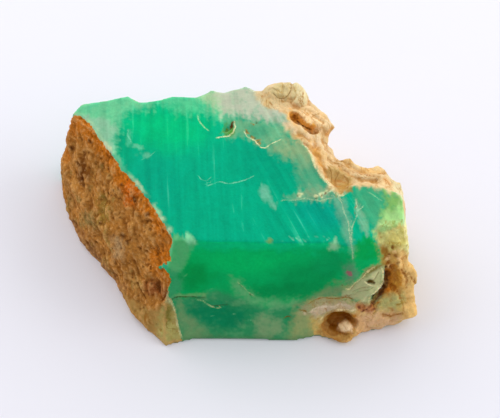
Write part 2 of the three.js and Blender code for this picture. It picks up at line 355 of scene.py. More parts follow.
# The body is green chalcedony, coloured by chrysocolla and clouded in places. It shows clean where the
# saw went through, on the top and on the upper front, and duller low down on the front, where it broke.
TOP_LIGHT = 1.02
FRONT_LIGHT = 0.70
# each view is named for what is drawn in it, and holds the share of full light that falls there
TOP = from_above(TOP_LIGHT)
TOP_SEEN = from_camera(TOP_LIGHT)
FRONT = from_camera(FRONT_LIGHT)
RIDGE = from_camera(0.76)
RIDGE_TOP = from_camera(0.85)

# the top's green is bluer than the front's; the extra blue is painted reflection of the pale room
wash(tint(1, 169, 129, TOP_LIGHT), np.ones(count))
# the lively green behind the middle of the top, and the deeper blue-green nearer the rind
patch(tint(0, 188, 124, TOP_LIGHT), (-8.8, 8.4, 15), (6.4, 3.8, 9), 0, 1.0, 1.2)
patch(tint(0, 159, 123, TOP_LIGHT), (6.5, 3.0, 15), (5.5, 5.0, 3), -30, 0.8, 1.2)
patch(tint(0, 160, 116, TOP_LIGHT), (-14.4, 5.8, 15), (1.6, 2.6, 3), 20, 0.9, 1.0)
patch(tint(0, 162, 128, TOP_LIGHT), (-10.0, -1.0, 15), (3.0, 5.0, 3), 20, 0.7, 1.2)
patch(tint(0, 158, 134, TOP_LIGHT), (12.0, -5.6, 15), (3.6, 2.6, 3), 0, 0.8, 1.2)
# the pale mint skin along the back edge and down beside the crust, greyer beside it
MINT_SKIN = [(-24, 11), (-22, 15), (-18.5, 15), (-15.0, 16), (-11.4, 14), (-11.0, 12.2), (-12.8, 11.6),
             (-14.5, 10.8), (-15.2, 9.4), (-16.2, 6.9), (-16.2, 4.6), (-15.4, 1.8), (-18.4, 5.0),
             (-21.0, 9.0)]
zone((110, 198, 148), TOP, MINT_SKIN, 1.0, 1.3, 0.7)
zone((140, 193, 158), TOP,
     [(-21.4, 10.6), (-18.6, 10.3), (-17.3, 9.2), (-15.7, 8.0), (-16.0, 6.3), (-16.1, 4.7),
      (-15.7, 3.0), (-17.0, 3.0), (-19.5, 6.5)], 0.95, 0.5)
zone((92, 200, 146), TOP,
     [(-11.2, 15), (0.6, 16), (0.8, 10.8), (-1.2, 9.8), (-3.7, 10.9), (-5.8, 11.2), (-8.3, 12.0),
      (-11.2, 12.9)], 0.9, 1.4, 0.8)
zone((172, 203, 158), TOP, [(-5.0, 15.5), (0.6, 16), (1.0, 11.0), (-1.6, 11.2), (-4.2, 12.8)],
     0.9, 1.2, 0.6)
# the cloudy grey and cream corner at the back, and the olive smear between the vein and the rind
zone((186, 194, 170), TOP,
     [(-3.0, 15.5), (0.6, 17), (5.3, 17), (6.4, 12.5), (8.0, 11.1), (8.6, 9.2), (7.0, 8.9), (3.7, 9.9),
      (1.9, 10.4), (-0.9, 10.4), (-1.6, 12.2)], 1.0, 1.1, 0.5)
zone((116, 178, 134), TOP,
     [(-0.6, 9.8), (3.7, 9.8), (7.2, 8.8), (8.6, 7.2), (7.0, 6.3), (5.0, 4.8), (3.3, 6.0), (1.0, 7.2),
      (-0.6, 6.9)], 0.9, 1.0, 0.5)
patch(tint(66, 164, 124, TOP_LIGHT), (3.9, 8.0, 15), (1.6, 1.0, 2), 0, 0.8, 1.2)
zone((146, 172, 126), TOP,
     [(5.1, 5.2), (7.1, 6.4), (9.0, 6.4), (10.8, 5.4), (11.6, 3.4), (10.9, 1.4), (9.6, 1.2), (8.8, 2.7),
      (6.1, 4.0)], 0.85, 1.3, 0.6)
zone((92, 160, 122), TOP,
     [(9.4, 3.0), (11.6, 2.6), (13.6, -1.6), (12.8, -3.4), (9.6, -2.4), (9.2, 0.5)], 0.75, 1.4, 0.6)
zone((142, 172, 134), TOP,
     [(7.6, -3.2), (9.4, -1.9), (11.0, -1.4), (12.8, -1.2), (14.2, -2.8), (12.7, -3.7), (9.4, -3.7)],
     0.75, 0.7, 0.4)
# the right end of the top, streaked with grey and turning yellow-green at its rim
zone((72, 172, 126), TOP,
     [(16.4, -1.2), (20.2, -1.4), (21.8, -1.8), (20.8, -4.3), (20.2, -7.2), (18.8, -7.9), (17.8, -6.4),
      (16.9, -3.5)], 0.9, 0.8, 0.5)
zone((134, 184, 100), TOP,
     [(20.6, -2.6), (21.9, -2.0), (25, -1.6), (25, -5.4), (21.6, -7.0), (20.0, -7.3), (20.3, -5.4),
      (20.9, -4.1)], 0.95, 0.7, 0.5)
zone((166, 206, 132), TOP, [(20.4, -5.7), (22.0, -4.4), (25, -3.5), (25, -5.8), (21.3, -7.2)],
     0.9, 0.6, 0.4)
zone((204, 216, 150), TOP_SEEN,
     [(19.2, 2.3), (20.6, 2.9), (22.6, 3.1), (24.4, 2.6), (23.6, 1.6), (21.5, 2.0), (19.8, 1.4)],
     0.9, 0.5, 0.3)
# the pale patch left of the row of pits, and small milky spots further left
zone((116, 192, 160), TOP,
     [(3.7, -1.2), (4.7, -1.3), (5.3, -2.6), (6.3, -4.0), (5.6, -4.5), (4.7, -3.4), (4.0, -2.4)],
     0.85, 0.4, 0.3)
patch(tint(96, 198, 156, TOP_LIGHT), (-14.0, 6.6, 15), (0.5, 1.2, 3), 10, 0.5, 1.0, 0.8)
patch(tint(104, 192, 154, TOP_LIGHT), (-12.8, 5.0, 15), (0.5, 0.5, 3), 0, 0.7, 0.8, 0.8)
patch(tint(112, 196, 158, TOP_LIGHT), (-11.8, 3.5, 15), (0.6, 0.7, 3), -40, 0.7, 0.8, 0.8)

# the upper front is clean green with a lighter band across it
front = ramp(to_front, 0.5, 0.85) * ramp(points[:, 1], -5, -8)
wash(tint(1, 146, 80, FRONT_LIGHT), front)
patch(tint(2, 163, 107, FRONT_LIGHT), (6, -10.2, 14.1), (14, 2, 0.9), 0, 0.9 * front, 1.2)
patch(tint(1, 160, 86, FRONT_LIGHT), (1.5, -11.3, 11.6), (8.0, 2, 1.8), 0, 0.9 * front, 1.2)
patch(tint(0, 128, 62, FRONT_LIGHT), (-4.8, -12.2, 9.4), (2.4, 2, 2.4), 0, 0.9 * front, 1.2)
patch(tint(1, 130, 70, FRONT_LIGHT), (10.5, -12.2, 9.0), (4.5, 2, 2.6), 0, 0.9 * front, 1.2)
patch(tint(1, 122, 64, FRONT_LIGHT), (7.6, -13.2, 7.2), (4.4, 2, 1.3), 0, 0.8 * front, 1.2)
patch(tint(3, 133, 76, FRONT_LIGHT), (13.6, -11.8, 11.4), (2.4, 2, 2.0), 0, 0.8 * front, 1.2)
zone((1, 138, 68), FRONT,
     [(16.3, -0.4), (17.5, 0.6), (18.3, 0.9), (18.8, 0.5), (19.5, -0.2), (20.0, -1.0), (19.9, -1.8),
      (18.6, -2.3), (17.3, -2.4), (16.3, -2.2)], 1.0, 0.5, 0.3)
# the lower front is duller, with grey-green clouds and a darker blue-green between them
HEM_ACROSS = [-8.5, -5.5, -1.5, 1.5, 4.6, 8.0, 11.0, 14.5, 20]
HEM_HEIGHT = [6.8, 6.4, 7.4, 6.2, 5.0, 5.0, 6.2, 8.0, 9]
below_hem = np.interp(points[:, 0], HEM_ACROSS, HEM_HEIGHT) - points[:, 2]
lower = front * ramp(below_hem + 0.5 * wander, -0.5, 0.8)
wash(tint(40, 126, 80, FRONT_LIGHT), lower)
grey_clouds = ramp(ripple(2.6, 66, (1.6, 1, 0.8)) + 0.5 * ripple(0.9, 67), 0.0, 0.7)
wash(tint(84, 138, 94, FRONT_LIGHT), 0.6 * lower * grey_clouds)
zone((2, 114, 74), FRONT,
     [(-6.2, -8.4), (-3.5, -8.4), (0.6, -8.7), (2.2, -9.4), (2.0, -10.8), (0.7, -12.2), (-3.2, -11.8),
      (-5.4, -10.4)], 0.95, 1.0, 0.7)
zone((6, 118, 74), FRONT, [(2.0, -9.4), (4.4, -9.6), (4.4, -10.7), (2.4, -11.0)], 0.8, 0.8, 0.6)
zone((104, 132, 90), FRONT,
     [(-6.9, -7.9), (-6.1, -9.6), (-4.2, -11.6), (-2.6, -12.7), (-4.3, -14), (-6.6, -14), (-7.1, -11.6),
      (-7.5, -9.0)], 0.75, 0.9, 0.6)
zone((112, 152, 112), FRONT,
     [(0.1, -4.9), (1.3, -5.6), (2.6, -6.8), (4.3, -7.8), (6.7, -8.2), (9.1, -7.9), (8.9, -8.8),
      (6.0, -9.1), (3.3, -8.6), (1.5, -7.4), (0.5, -6.5)], 0.55, 1.0, 0.5)
zone((116, 142, 102), FRONT,
     [(3.3, -10.7), (4.8, -10.1), (6.7, -10.9), (7.3, -12.4), (5.4, -13.3), (3.5, -13.2)],
     0.8, 1.0, 0.7)
zone((104, 124, 82), FRONT,
     [(8.7, -8.6), (10.8, -7.3), (12.4, -6.4), (14.2, -5.7), (16.4, -4.9), (17.0, -5.9), (15.6, -7.6),
      (13.5, -7.8), (11.5, -7.9), (9.8, -8.8)], 0.75, 0.8, 0.5)
zone((134, 140, 92), FRONT,
     [(8.6, -9.6), (10.2, -9.0), (12.4, -10.4), (12.6, -12.2), (12.0, -14), (8.6, -14.4), (7.6, -13.4),
      (8.3, -11.2)], 0.85, 0.8, 0.5)
# painted shade along the foot of the front, where it meets the card
wash(tint(66, 108, 70, FRONT_LIGHT), 0.6 * front * ramp(points[:, 2] + 0.5 * wander, 1.3, 0.3))
# the pale patch on the left corner of the ridge has a crisp right edge and a milky upper corner
zone((50, 136, 90), FRONT,
     [(-8.4, -2.8), (-6.8, -3.4), (-6.5, -5.4), (-6.9, -7.4), (-8.4, -7.6), (-9.0, -6.2), (-8.0, -5.1),
      (-9.9, -3.6)], 0.8, 0.8, 0.3)
zone((76, 156, 100), RIDGE,
     [(-6.9, 0.7), (-5.7, 1.1), (-5.0, 0.7), (-4.5, -0.2), (-5.1, -1.0), (-5.6, -2.1), (-6.2, -3.2),
      (-6.8, -3.9), (-7.9, -4.0), (-8.8, -2.6), (-8.8, -1.0), (-7.8, 0.3)], 0.9, 0.4, 0.25)
zone((134, 200, 158), RIDGE_TOP,
     [(-6.3, 0.8), (-5.6, 1.1), (-4.9, 0.6), (-4.6, -0.2), (-5.3, -0.3), (-5.9, 0.2)], 0.8, 0.35, 0.2)
# a small reddish inclusion with a grey halo
zone((84, 124, 96), FRONT, [(15.2, -2.9), (16.5, -2.6), (17.2, -4.4), (16.5, -5.8), (15.4, -5.1)],
     0.7, 0.7)
patch(tint(140, 70, 84, FRONT_LIGHT), (15.8, -12.2, 10.0), (0.3, 2, 0.6), 0, 0.8, 0.8)

# Thin veins and cracks run through the green. Most are milky; the ones nearer the rind hold tan iron
# stain and small pits, and a pale vein in the shape of a V marks where the right end begins.
MILKY = (150, 226, 188)
CREAM = (226, 224, 172)
TAN = (158, 130, 60)
UMBER = (92, 56, 18)

vein(MILKY, TOP, [(-14.3, 8.2), (-14.4, 7.2), (-13.8, 6.4), (-13.7, 5.8)], 0.14, 0.4)
vein(MILKY, TOP, [(-12.4, 3.0), (-11.2, 3.5), (-10.4, 4.4)], 0.09, 0.3)
vein((176, 228, 166), TOP, [(-4.7, 10.6), (-4.3, 9.2), (-3.8, 8.5), (-3.0, 7.8)], 0.11, 0.7)
vein(MILKY, TOP, [(-4.5, 0.4), (-4.0, -0.2), (-3.2, -0.4), (-2.5, 0.3)], 0.09, 0.5)
vein(MILKY, TOP, [(-3.3, -1.2), (-1.6, -0.6), (-0.1, -0.9), (1.0, -0.6), (2.0, -0.2), (3.2, 0.5)],
     0.10, 0.5)
# the pit in the top, with a cream rim and an umber bottom
zone((84, 142, 58), TOP, [(-1.5, 7.2), (-0.8, 8.5), (0.1, 9.5), (0.5, 8.2), (-0.2, 7.0)],
     1.0, 0.35, 0.1)
patch(tint(*UMBER, TOP_LIGHT), (0.0, 8.9, 15.0), (0.3, 0.36, 2), 0, 0.95, 0.5, 0.1)
vein(CREAM, TOP, [(-2.1, 6.7), (-1.2, 6.9), (-0.3, 7.0), (0.3, 7.7), (0.6, 8.6), (0.4, 9.6)],
     0.15, 0.9, 0.05)
# the cream line to the right of it, with a row of tan pits at its start
vein(CREAM, TOP,
     [(1.8, 7.9), (2.2, 6.9), (3.2, 6.4), (3.7, 5.7), (4.1, 5.1), (4.8, 5.0), (5.4, 5.6), (6.9, 6.5)],
     0.12, 0.95, 0.1)
for x, y in ((2.1, 7.7), (2.7, 7.0), (3.3, 6.6), (3.7, 6.0), (3.5, 9.2)):
    patch(tint(*TAN, TOP_LIGHT), (x, y, 15.3), (0.24, 0.28, 1), 0, 0.9, 0.6, 0.3)
    vein(UMBER, TOP, [(x - 0.1, y - 0.1), (x + 0.12, y + 0.12)], 0.12, 0.8, 0, 0.12)
# the row of pits under the pan of the rind
vein((176, 204, 160), TOP,
     [(6.9, -3.7), (9.0, -3.5), (10.0, -3.3), (11.1, -3.6), (12.2, -3.6), (13.1, -3.2), (13.9, -3.0)],
     0.13, 0.6, 0.4)
for x, y in ((9.1, -2.8), (11.5, -3.2), (12.3, -2.8), (13.3, -1.9), (12.8, -2.4)):
    patch(tint(*CREAM, TOP_LIGHT), (x + 0.15, y + 0.15, 15), (0.34, 0.4, 1), 0, 0.7, 0.6, 0.4)
    vein(UMBER, TOP, [(x - 0.2, y - 0.25), (x + 0.2, y + 0.25)], 0.14, 0.9, 0, 0.15)
# the V-shaped vein, the grey flank on its left and the pale wedge on its right
zone((118, 172, 142), TOP_SEEN,
     [(13.6, 6.2), (15.2, 6.2), (15.9, 3.6), (16.1, 1.0), (16.7, -1.0), (16.3, -2.2), (15.7, -0.7),
      (15.0, 1.4), (14.3, 3.6)], 0.75, 0.6, 0.3)
zone((124, 178, 142), TOP_SEEN,
     [(17.1, 5.3), (17.9, 4.0), (18.3, 2.2), (18.4, 0.9), (17.6, 1.3), (17.0, 2.7), (16.8, 4.3)],
     0.75, 0.4, 0.25)
V_PALE = (198, 212, 168)
vein(V_PALE, TOP_SEEN,
     [(14.5, 6.1), (15.0, 5.0), (15.3, 3.6), (15.7, 2.3), (15.9, 1.0), (16.1, -0.6), (16.3, -2.3)],
     0.12, 0.6, 0.35)
vein(V_PALE, TOP_SEEN, [(17.0, 5.9), (16.8, 3.9), (16.4, 2.7), (16.1, 1.2), (16.2, -0.3)],
     0.14, 0.65, 0.35)
vein((140, 104, 62), TOP_SEEN, [(16.9, 5.0), (16.6, 3.6)], 0.14, 0.9, 0.1)
vein((190, 230, 184), TOP_SEEN, [(17.9, 4.9), (17.2, 4.4), (16.9, 4.0)], 0.12, 0.7)
vein((190, 226, 170), TOP, [(18.6, -2.2), (19.4, -2.7), (20.4, -3.6)], 0.12, 0.8)
# chips along the ridge
CHIPPED_RIDGE = [(6.6, -9.6), (12.8, -9.7)]
chips = ramp(np.abs(beside(points[:, :2], CHIPPED_RIDGE)[0]), 0.6, 0.2) * ramp(points[:, 2], 13.6, 14.1)
chips *= blotches(0.9, 36, 0.45, 37, 0.2, 0.5)
lift -= 0.1 * chips
wash(tint(*MILKY, TOP_LIGHT), 0.5 * chips)
zone((156, 204, 160), TOP_SEEN, [(13.4, -0.2), (14.1, 0.2), (14.6, -0.6), (13.9, -1.1), (13.2, -1.0)],
     0.85, 0.4, 0.3)
patch(tint(110, 130, 60, FRONT_LIGHT), (5.2, -9.9, 14.3), (0.4, 0.5, 0.4), 0, 0.7, 0.8)
for stroke in ([(-2.8, -10.3), (-2.2, -10.0)], [(0.1, -9.8), (0.7, -9.7)], [(2.3, -10.8), (2.9, -10.6)],
               [(-2.9, -6.6), (-2.2, -6.2)], [(-6.3, -4.6), (-5.7, -4.3)]):
    vein((96, 164, 116), FRONT, stroke, 0.14, 0.5, 0.3)
# the cracked ledge low on the left of the front, and finer cracks to its right
FRONT_CREAM = (150, 170, 118)
FRONT_SHADE = (50, 74, 30)
zone((104, 146, 90), FRONT,
     [(-8.0, -7.5), (-6.6, -7.0), (-4.8, -7.0), (-3.2, -7.0), (-3.3, -7.5), (-5.5, -7.5), (-7.1, -7.6)],
     0.7, 0.35, 0.2)
vein(FRONT_SHADE, FRONT, [(-8.2, -7.9), (-7.1, -7.5), (-5.5, -7.5), (-4.1, -7.6), (-3.3, -7.6)],
     0.11, 0.9, 0.1, 0.12)
vein(FRONT_CREAM, FRONT, [(-4.6, -7.9), (-3.8, -8.0), (-3.1, -8.5), (-2.3, -8.9), (-1.3, -9.0)],
     0.13, 0.9, 0.15)
vein(FRONT_SHADE, FRONT, [(-2.5, -8.7), (-1.4, -8.7), (-0.4, -8.6)], 0.09, 0.7, 0.15, 0.1)
vein(FRONT_CREAM, FRONT, [(0.9, -5.4), (1.4, -5.8), (2.4, -6.8), (3.4, -7.5)], 0.12, 0.5, 0.25)
vein(FRONT_SHADE, FRONT, [(1.2, -5.7), (1.8, -6.2)], 0.12, 0.9, 0, 0.12)
vein(FRONT_SHADE, FRONT, [(2.4, -7.0), (2.8, -7.3)], 0.10, 0.8, 0, 0.1)
vein((104, 84, 28), FRONT, [(7.2, -10.5), (7.8, -10.2), (8.3, -10.4)], 0.12, 0.9, 0, 0.12)
vein((120, 90, 30), FRONT, [(9.2, -9.3), (9.9, -9.4), (10.6, -9.8)], 0.16, 0.9, 0.1, 0.12)
vein((60, 60, 20), FRONT, [(14.8, -5.8), (15.2, -5.9)], 0.14, 0.9, 0, 0.12)

# The brown crust is iron oxide on the left wall, rough with knobs, grains and pores. It ends along the
# sawn rim in a ragged edge, goes down the front corner and turns olive at the pointed foot.
CRUST_LIGHT = 0.75
CRUST = from_camera(CRUST_LIGHT)
FOOT_EDGE = from_camera(0.8)
CRUST_EDGE = [(-22.6, 10.9, 15.5), (-20.9, 10.2, 15.5), (-19.7, 9.1, 15.5), (-18.1, 6.4, 15.2),
              (-16.3, 3.8, 15.2), (-15.0, 1.5, 14.9), (-13.7, 0.1, 15.0), (-12.2, -2.0, 14.9),
              (-10.5, -4.4, 14.8), (-9.0, -6.9, 14.6), (-7.6, -9.5, 14.5), (-8.2, -9.9, 12.2),
              (-7.9, -11.1, 11.4), (-9.7, -10.2, 8.6), (-8.0, -12.3, 8.6), (-8.5, -13.2, 6.6),
              (-7.9, -14.0, 5.3), (-7.4, -14.8, 3.8), (-7.1, -16.0, 1.9), (-6.7, -17.0, 0.6),
              (-6.6, -18.5, 0)]
# how far inside the crust each point lies, in mm, and below 0 where there is none, as on the underside
BARE = -1
below_top = ramp(points[:, 2], 14.0, 11.0)
crust_depth = beyond(CRUST_EDGE, [(-12, -30), (-60, -30), (-60, 16), (-23.6, 16)])
crust_depth += 0.22 * ripple(1.2, 41) + 0.12 * ripple(0.5, 42)
back_end = 11.2 + (1.8 * ripple(4.0, 43) + 0.5 * ripple(1.2, 40)) * below_top
crust_depth = np.minimum(crust_depth, back_end - points[:, 1])
crust_depth[underside] = BARE
crust = ramp(crust_depth, -0.12, 0.15)
# the pointed foot lies under a line that rises to the right
foot = ramp(2.1 + 0.48 * (points[:, 0] + 14) - points[:, 2] + 0.8 * wander, -0.3, 0.5)
foot *= ramp(points[:, 0], -15.8, -14.2)

knobs = 0.34 * (np.abs(ripple(2.8, 46, (1, 1.4, 1.2))) - 0.35) + 0.2 * (np.abs(ripple(1.3, 47)) - 0.35)
grains = 0.10 * ripple(0.9, 48) + 0.06 * ripple(0.45, 49)
pores = ramp(ripple(2.2, 44), 0.2, 0.7) * ramp(ripple(0.9, 45), 0.0, 0.5)
lift += crust * (1 - 0.6 * foot) * (knobs + 0.7 * grains - 0.25 * pores - 0.02)

# the milky rim of the green along the crust
rim = ramp(crust_depth + 0.25 * wander, -0.75, -0.25) * (1 - crust) * ramp(points[:, 2], 13, 14.5)
wash(tint(168, 204, 160, TOP_LIGHT), 0.75 * rim * ramp(ripple(2.4, 54), -0.5, 0.3))
wash(tint(214, 212, 176, TOP_LIGHT), 0.6 * rim * ramp(ripple(1.9, 55), 0.3, 0.7))
# the crust's colours are laid apart from the green's, so that the skin can draw a fine edge between them
green_paint = paint
wash(tint(152, 100, 42, CRUST_LIGHT), np.ones(count))
wash(tint(164, 116, 58, CRUST_LIGHT), 0.8 * blotches(3.0, 51, 0.9, 57, 0, 0.7))
wash(tint(124, 74, 22, CRUST_LIGHT), 0.75 * blotches(1.8, 52, 0.7, 58, 0.1, 0.8))
wash(tint(124, 112, 60, CRUST_LIGHT), 0.5 * blotches(4.0, 59, 1.0, 60, 0.3, 0.8))
rusty = ramp(crust_depth + 1.0 * ripple(2.4, 53) + 0.4 * ripple(0.8, 56), 3.2, 0.4)
rusty *= ramp(points[:, 2], 5, 10)
wash(tint(172, 94, 10, CRUST_LIGHT), 0.9 * rusty)
patch(tint(176, 82, 2, CRUST_LIGHT), (-13.8, -1.6, 13.8), (1.6, 2.6, 1.6), -30, 0.8, 0.8, 0.8)
patch(tint(90, 46, 8, CRUST_LIGHT), (-20.9, 4.8, 10.2), (1.0, 1.9, 2.2), 0, 0.9, 0.8, 0.6)
zone((116, 106, 60), CRUST, [(-21.6, 3.9), (-19.5, 4.2), (-19.2, 2.1), (-21.0, 1.8)], 0.75, 0.9, 0.8)
zone((122, 108, 44), CRUST, [(-18.7, 6.3), (-17.3, 6.4), (-17.2, 2.0), (-18.6, 2.1)], 0.7, 0.9, 0.8)
zone((146, 124, 90), CRUST, [(-16.6, 0.8), (-15.2, 0.3), (-14.7, -2.0), (-16.4, -2.6)], 0.7, 0.8, 0.6)
zone((116, 80, 54), CRUST,
     [(-25, 4.6), (-22.2, 1.9), (-19.5, -1.4), (-15.0, -6.6), (-17, -8), (-21.6, -3), (-25, 0)],
     0.75, 1.2, 0.7)
zone((128, 70, 34), CRUST,
     [(-11.9, -5.6), (-10.8, -5.1), (-9.9, -5.7), (-8.5, -6.2), (-8.9, -8.1), (-9.9, -7.5),
      (-11.8, -7.2)], 0.8, 0.6, 0.4)
# the foot, where the crust thins out over olive and tan chalcedony
wash(tint(146, 116, 62, CRUST_LIGHT), 0.85 * foot)
zone((150, 144, 84), CRUST,
     [(-9.3, -8.6), (-8.4, -8.2), (-7.5, -9.0), (-7.0, -11.2), (-6.2, -13.2), (-6.6, -16), (-9.4, -16),
      (-10.3, -13.5), (-10.0, -11.5)], 0.9, 0.9, 0.4)
zone((150, 166, 122), CRUST, [(-8.9, -7.8), (-8.6, -6.6), (-7.6, -5.6), (-7.2, -8.2), (-7.8, -9.4)],
     0.8, 0.5, 0.3)
zone((98, 88, 22), CRUST, [(-8.9, -8.8), (-8.2, -8.4), (-8.1, -10.2), (-8.6, -11.6), (-9.1, -11.0)],
     0.85, 0.5, 0.3)
vein((186, 184, 136), FOOT_EDGE,
     [(-8.0, -8.3), (-7.6, -9.3), (-7.4, -11.0), (-7.0, -12.6), (-6.7, -13.4)], 0.18, 0.9, 0.15)
# dark holes, and cracks between brown wedges above the foot
for hole in ((-21.8, 10.9), (-21.1, 8.6), (-20.9, 7.7), (-19.5, 13.9), (-22.7, 13.0), (-11.2, 3.9),
             (-13.0, 5.8), (-15.0, 7.9), (-15.1, 0.9), (-14.5, -0.1), (-18.1, 2.4), (-15.3, 7.2)):
    spot((66, 30, 4), CRUST, hole, 0.34)
for crack in ([(-10.1, -5.5), (-9.9, -6.9), (-9.4, -8.2)],
              [(-13.1, -5.7), (-12.4, -7.1), (-11.7, -8.1)], [(-11.7, -5.4), (-11.4, -7.4)],
              [(-8.8, -5.6), (-8.9, -6.8), (-9.2, -8.0)]):
    vein((70, 34, 10), CRUST, crack, 0.14, 0.9, 0.3, 0.2)
# the crust's colours are put by, and the rind's go over the green's
crust_paint = paint
paint = green_paint

# The rind is cream and peach chalcedony with iron stain in its creases. It wraps the right side and
# the lower right corner, where hollows of darker brown open between its folds.
RIND_LIGHT = 1.02
CORNER_LIGHT = 0.80
RIND = from_camera(RIND_LIGHT)
FOLD = from_camera(0.85)
CREVICE = from_camera(0.7)
CORNER = from_camera(CORNER_LIGHT)
CORNER_TOP = from_camera(0.9)
CORNER_RIM = from_camera(0.95)
HOLLOW = from_camera(0.5)
HOLLOW_WALL = from_camera(0.7)
HOLLOW_RING = from_camera(0.75)
RIND_EDGE = [(3.0, 16.6, 15.6), (3.7, 13.9, 15.7), (4.6, 12.3, 15.6), (6.2, 11.4, 15.6),
             (7.6, 10.8, 15.5), (8.4, 9.2, 15.4), (8.9, 7.2, 15.3), (10.3, 5.4, 15.2),
             (11.0, 3.8, 15.1), (11.5, 2.0, 15.0), (12.4, 0.4, 15.0), (13.2, -0.9, 15.0),
             (13.8, -2.2, 14.9), (14.8, -2.7, 14.9), (15.7, -2.2, 14.9), (16.4, -1.3, 14.9),
             (18.2, -1.3, 15.0), (20.2, -1.5, 15.0), (22.3, -2.0, 15.0), (23.6, -2.6, 14.8),
             (24.2, -4.8, 14.4), (23.2, -6.6, 14.3), (20.4, -7.0, 14.4), (19.6, -8.4, 14.1),
             (20.2, -9.9, 12.3), (20.8, -11.2, 9.4), (20.4, -12.3, 7.0), (19.2, -13.3, 5.6),
             (17.0, -13.9, 5.2), (15.5, -13.5, 5.7), (12.8, -13.4, 5.7), (11.0, -13.8, 5.3),
             (10.9, -14.9, 3.6), (11.4, -16.2, 1.6), (11.2, -18.0, 0.0)]
rind_depth = beyond(RIND_EDGE, [(8, -40), (60, -40), (60, 40), (2, 40)])
rind_depth += 0.3 * ripple(1.7, 61) + 0.15 * ripple(0.6, 62)
# behind, its end wavers down the back wall; at the right it hides the green below the sawn top
far_back = ramp(points[:, 1], 10, 12.5) * below_top
behind = points[:, 0] - 3.2 + 3.2 * ripple(6.0, 68) + 1.2 * ripple(1.8, 69)
rind_depth += far_back * (behind - rind_depth)
rind_depth = np.maximum(rind_depth, np.minimum(13.3 - points[:, 2], points[:, 0] - 21.0))
rind_depth[underside] = BARE
blur = 0.3 + 0.7 * ramp(points[:, 1], -3, -8)
fraying = 0.3 + 0.4 * (blur - 0.3)
rind = ramp(rind_depth + fraying * fret, -blur, blur)
# folds run down along the rind, crossed by finer wrinkles
folds = 0.30 * (np.abs(ripple(3.6, 63, (1, 1.8, 1), -35)) - 0.35) * below_top
wrinkles = 0.10 * (np.abs(ripple(1.5, 64, (2.2, 1, 1), -35)) - 0.3) + 0.05 * ripple(0.7, 65)
rubble = ramp(points[:, 1], -5, -7) * (0.16 * ripple(1.7, 74) + 0.14 * (np.abs(ripple(1.0, 75)) - 0.3))
lift += rind * (folds + wrinkles + rubble + 0.08 * ripple(2.8, 70))

# On the back the stone broke along old joints. A pale skin clouds its green there, and it is stained
# brown along its foot.
back = ramp(normals[:, 1], 0.25, 0.6) * (1 - crust) * (1 - rind)
broken = 0.3 * ripple(4.2, 81) + 0.16 * (np.abs(ripple(2.0, 82)) - 0.35) + 0.04 * ripple(0.8, 83)
lift += back * below_top * broken
wash(tint(96, 178, 134, TOP_LIGHT), 0.8 * back * blotches(5.0, 84, 1.4, 85, -0.5, 0.4))
wash(tint(176, 190, 148, TOP_LIGHT), 0.85 * back * blotches(3.4, 86, 1.0, 87, 0.0, 0.6))
wash(tint(160, 124, 74, TOP_LIGHT), 0.7 * back * blotches(3.4, 88, 0.9, 89, 0.35, 0.9))
wash(tint(120, 84, 40, TOP_LIGHT), 0.7 * back * ramp(points[:, 2] + 1.2 * wander, 2.4, 0.4))

# The colours of the rind are laid from the broad to the fine. It is cream and peach on the right side,
# with ochre creases and valleys, and tan at the lower right corner.
high = ramp(points[:, 1], -7, -3)
wash(tint(222, 190, 138, RIND_LIGHT), rind * high)
wash(tint(192, 162, 92, CORNER_LIGHT), rind * (1 - high))
wash(tint(228, 204, 160, RIND_LIGHT), 0.6 * rind * high * ramp(ripple(2.6, 71), 0, 0.7))
wash(tint(212, 164, 98, RIND_LIGHT), 0.6 * rind * high * blotches(2.0, 72, 0.8, 73, 0.2, 0.8))
# valleys between the folds, cut wide enough to throw some shade, and painted brown along them as shade too
for valley in ([(10.0, 13.6), (11.0, 12.6), (12.1, 11.4), (12.8, 9.9), (13.2, 8.6)],
               [(12.6, 14.4), (13.4, 12.9), (14.6, 11.7), (16.2, 10.4), (17.6, 9.7), (19.4, 9.6),
                (21.2, 9.5)], [(13.2, 11.4), (14.6, 10.4), (16.2, 9.2), (17.8, 8.4), (20.0, 8.2)],
               [(10.6, 18.6), (11.8, 17.4), (13.0, 16.4)], [(9.0, 14.9), (10.0, 14.6), (11.0, 13.9)],
               [(13.8, 16.4), (14.3, 15.2)]):
    vein((204, 150, 82), RIND, valley, 0.2, 0.75, 0.35, 0.22)
# down the right side it is banded with grey chalcedony and stained by iron
right_side = rind * high * below_top
wash(tint(196, 198, 158, RIND_LIGHT), 0.7 * right_side * blotches(5.5, 77, 1.1, 76, 0.15, 0.5, 0.3))
wash(tint(190, 126, 56, RIND_LIGHT), 0.6 * right_side * blotches(3.8, 78, 1.0, 79, 0.3, 0.9))
wash(tint(60, 168, 118, RIND_LIGHT), 0.7 * right_side * blotches(6.5, 80, 1.3, 90, 0.5, 0.75, 0.3))
# the nodule and the block at the back, parted by a dark line
zone((206, 184, 136), RIND,
     [(2.8, 21.6), (4.9, 21.6), (6.3, 19.8), (7.6, 19.4), (6.3, 18.9), (4.9, 18.7), (3.6, 19.9)],
     0.8, 0.7, 0.4)
zone((204, 186, 134), RIND,
     [(4.9, 21.2), (6.2, 22.2), (7.5, 23.2), (8.5, 23.2), (8.6, 21.3), (8.2, 20.6), (7.4, 20.0),
      (6.4, 20.1), (5.7, 20.7)], 0.9, 0.4, 0.15)
zone((224, 212, 162), RIND,
     [(8.6, 23.2), (10.3, 23.2), (11.4, 21.7), (10.9, 20.3), (10.4, 18.6), (9.3, 19.2), (8.6, 19.7)],
     0.9, 0.3, 0.15)
vein((136, 100, 44), RIND,
     [(8.5, 22.9), (8.5, 21.3), (8.0, 20.5), (7.4, 20.0), (6.5, 20.1), (5.8, 20.9)],
     0.10, 0.85, 0.05, 0.06)
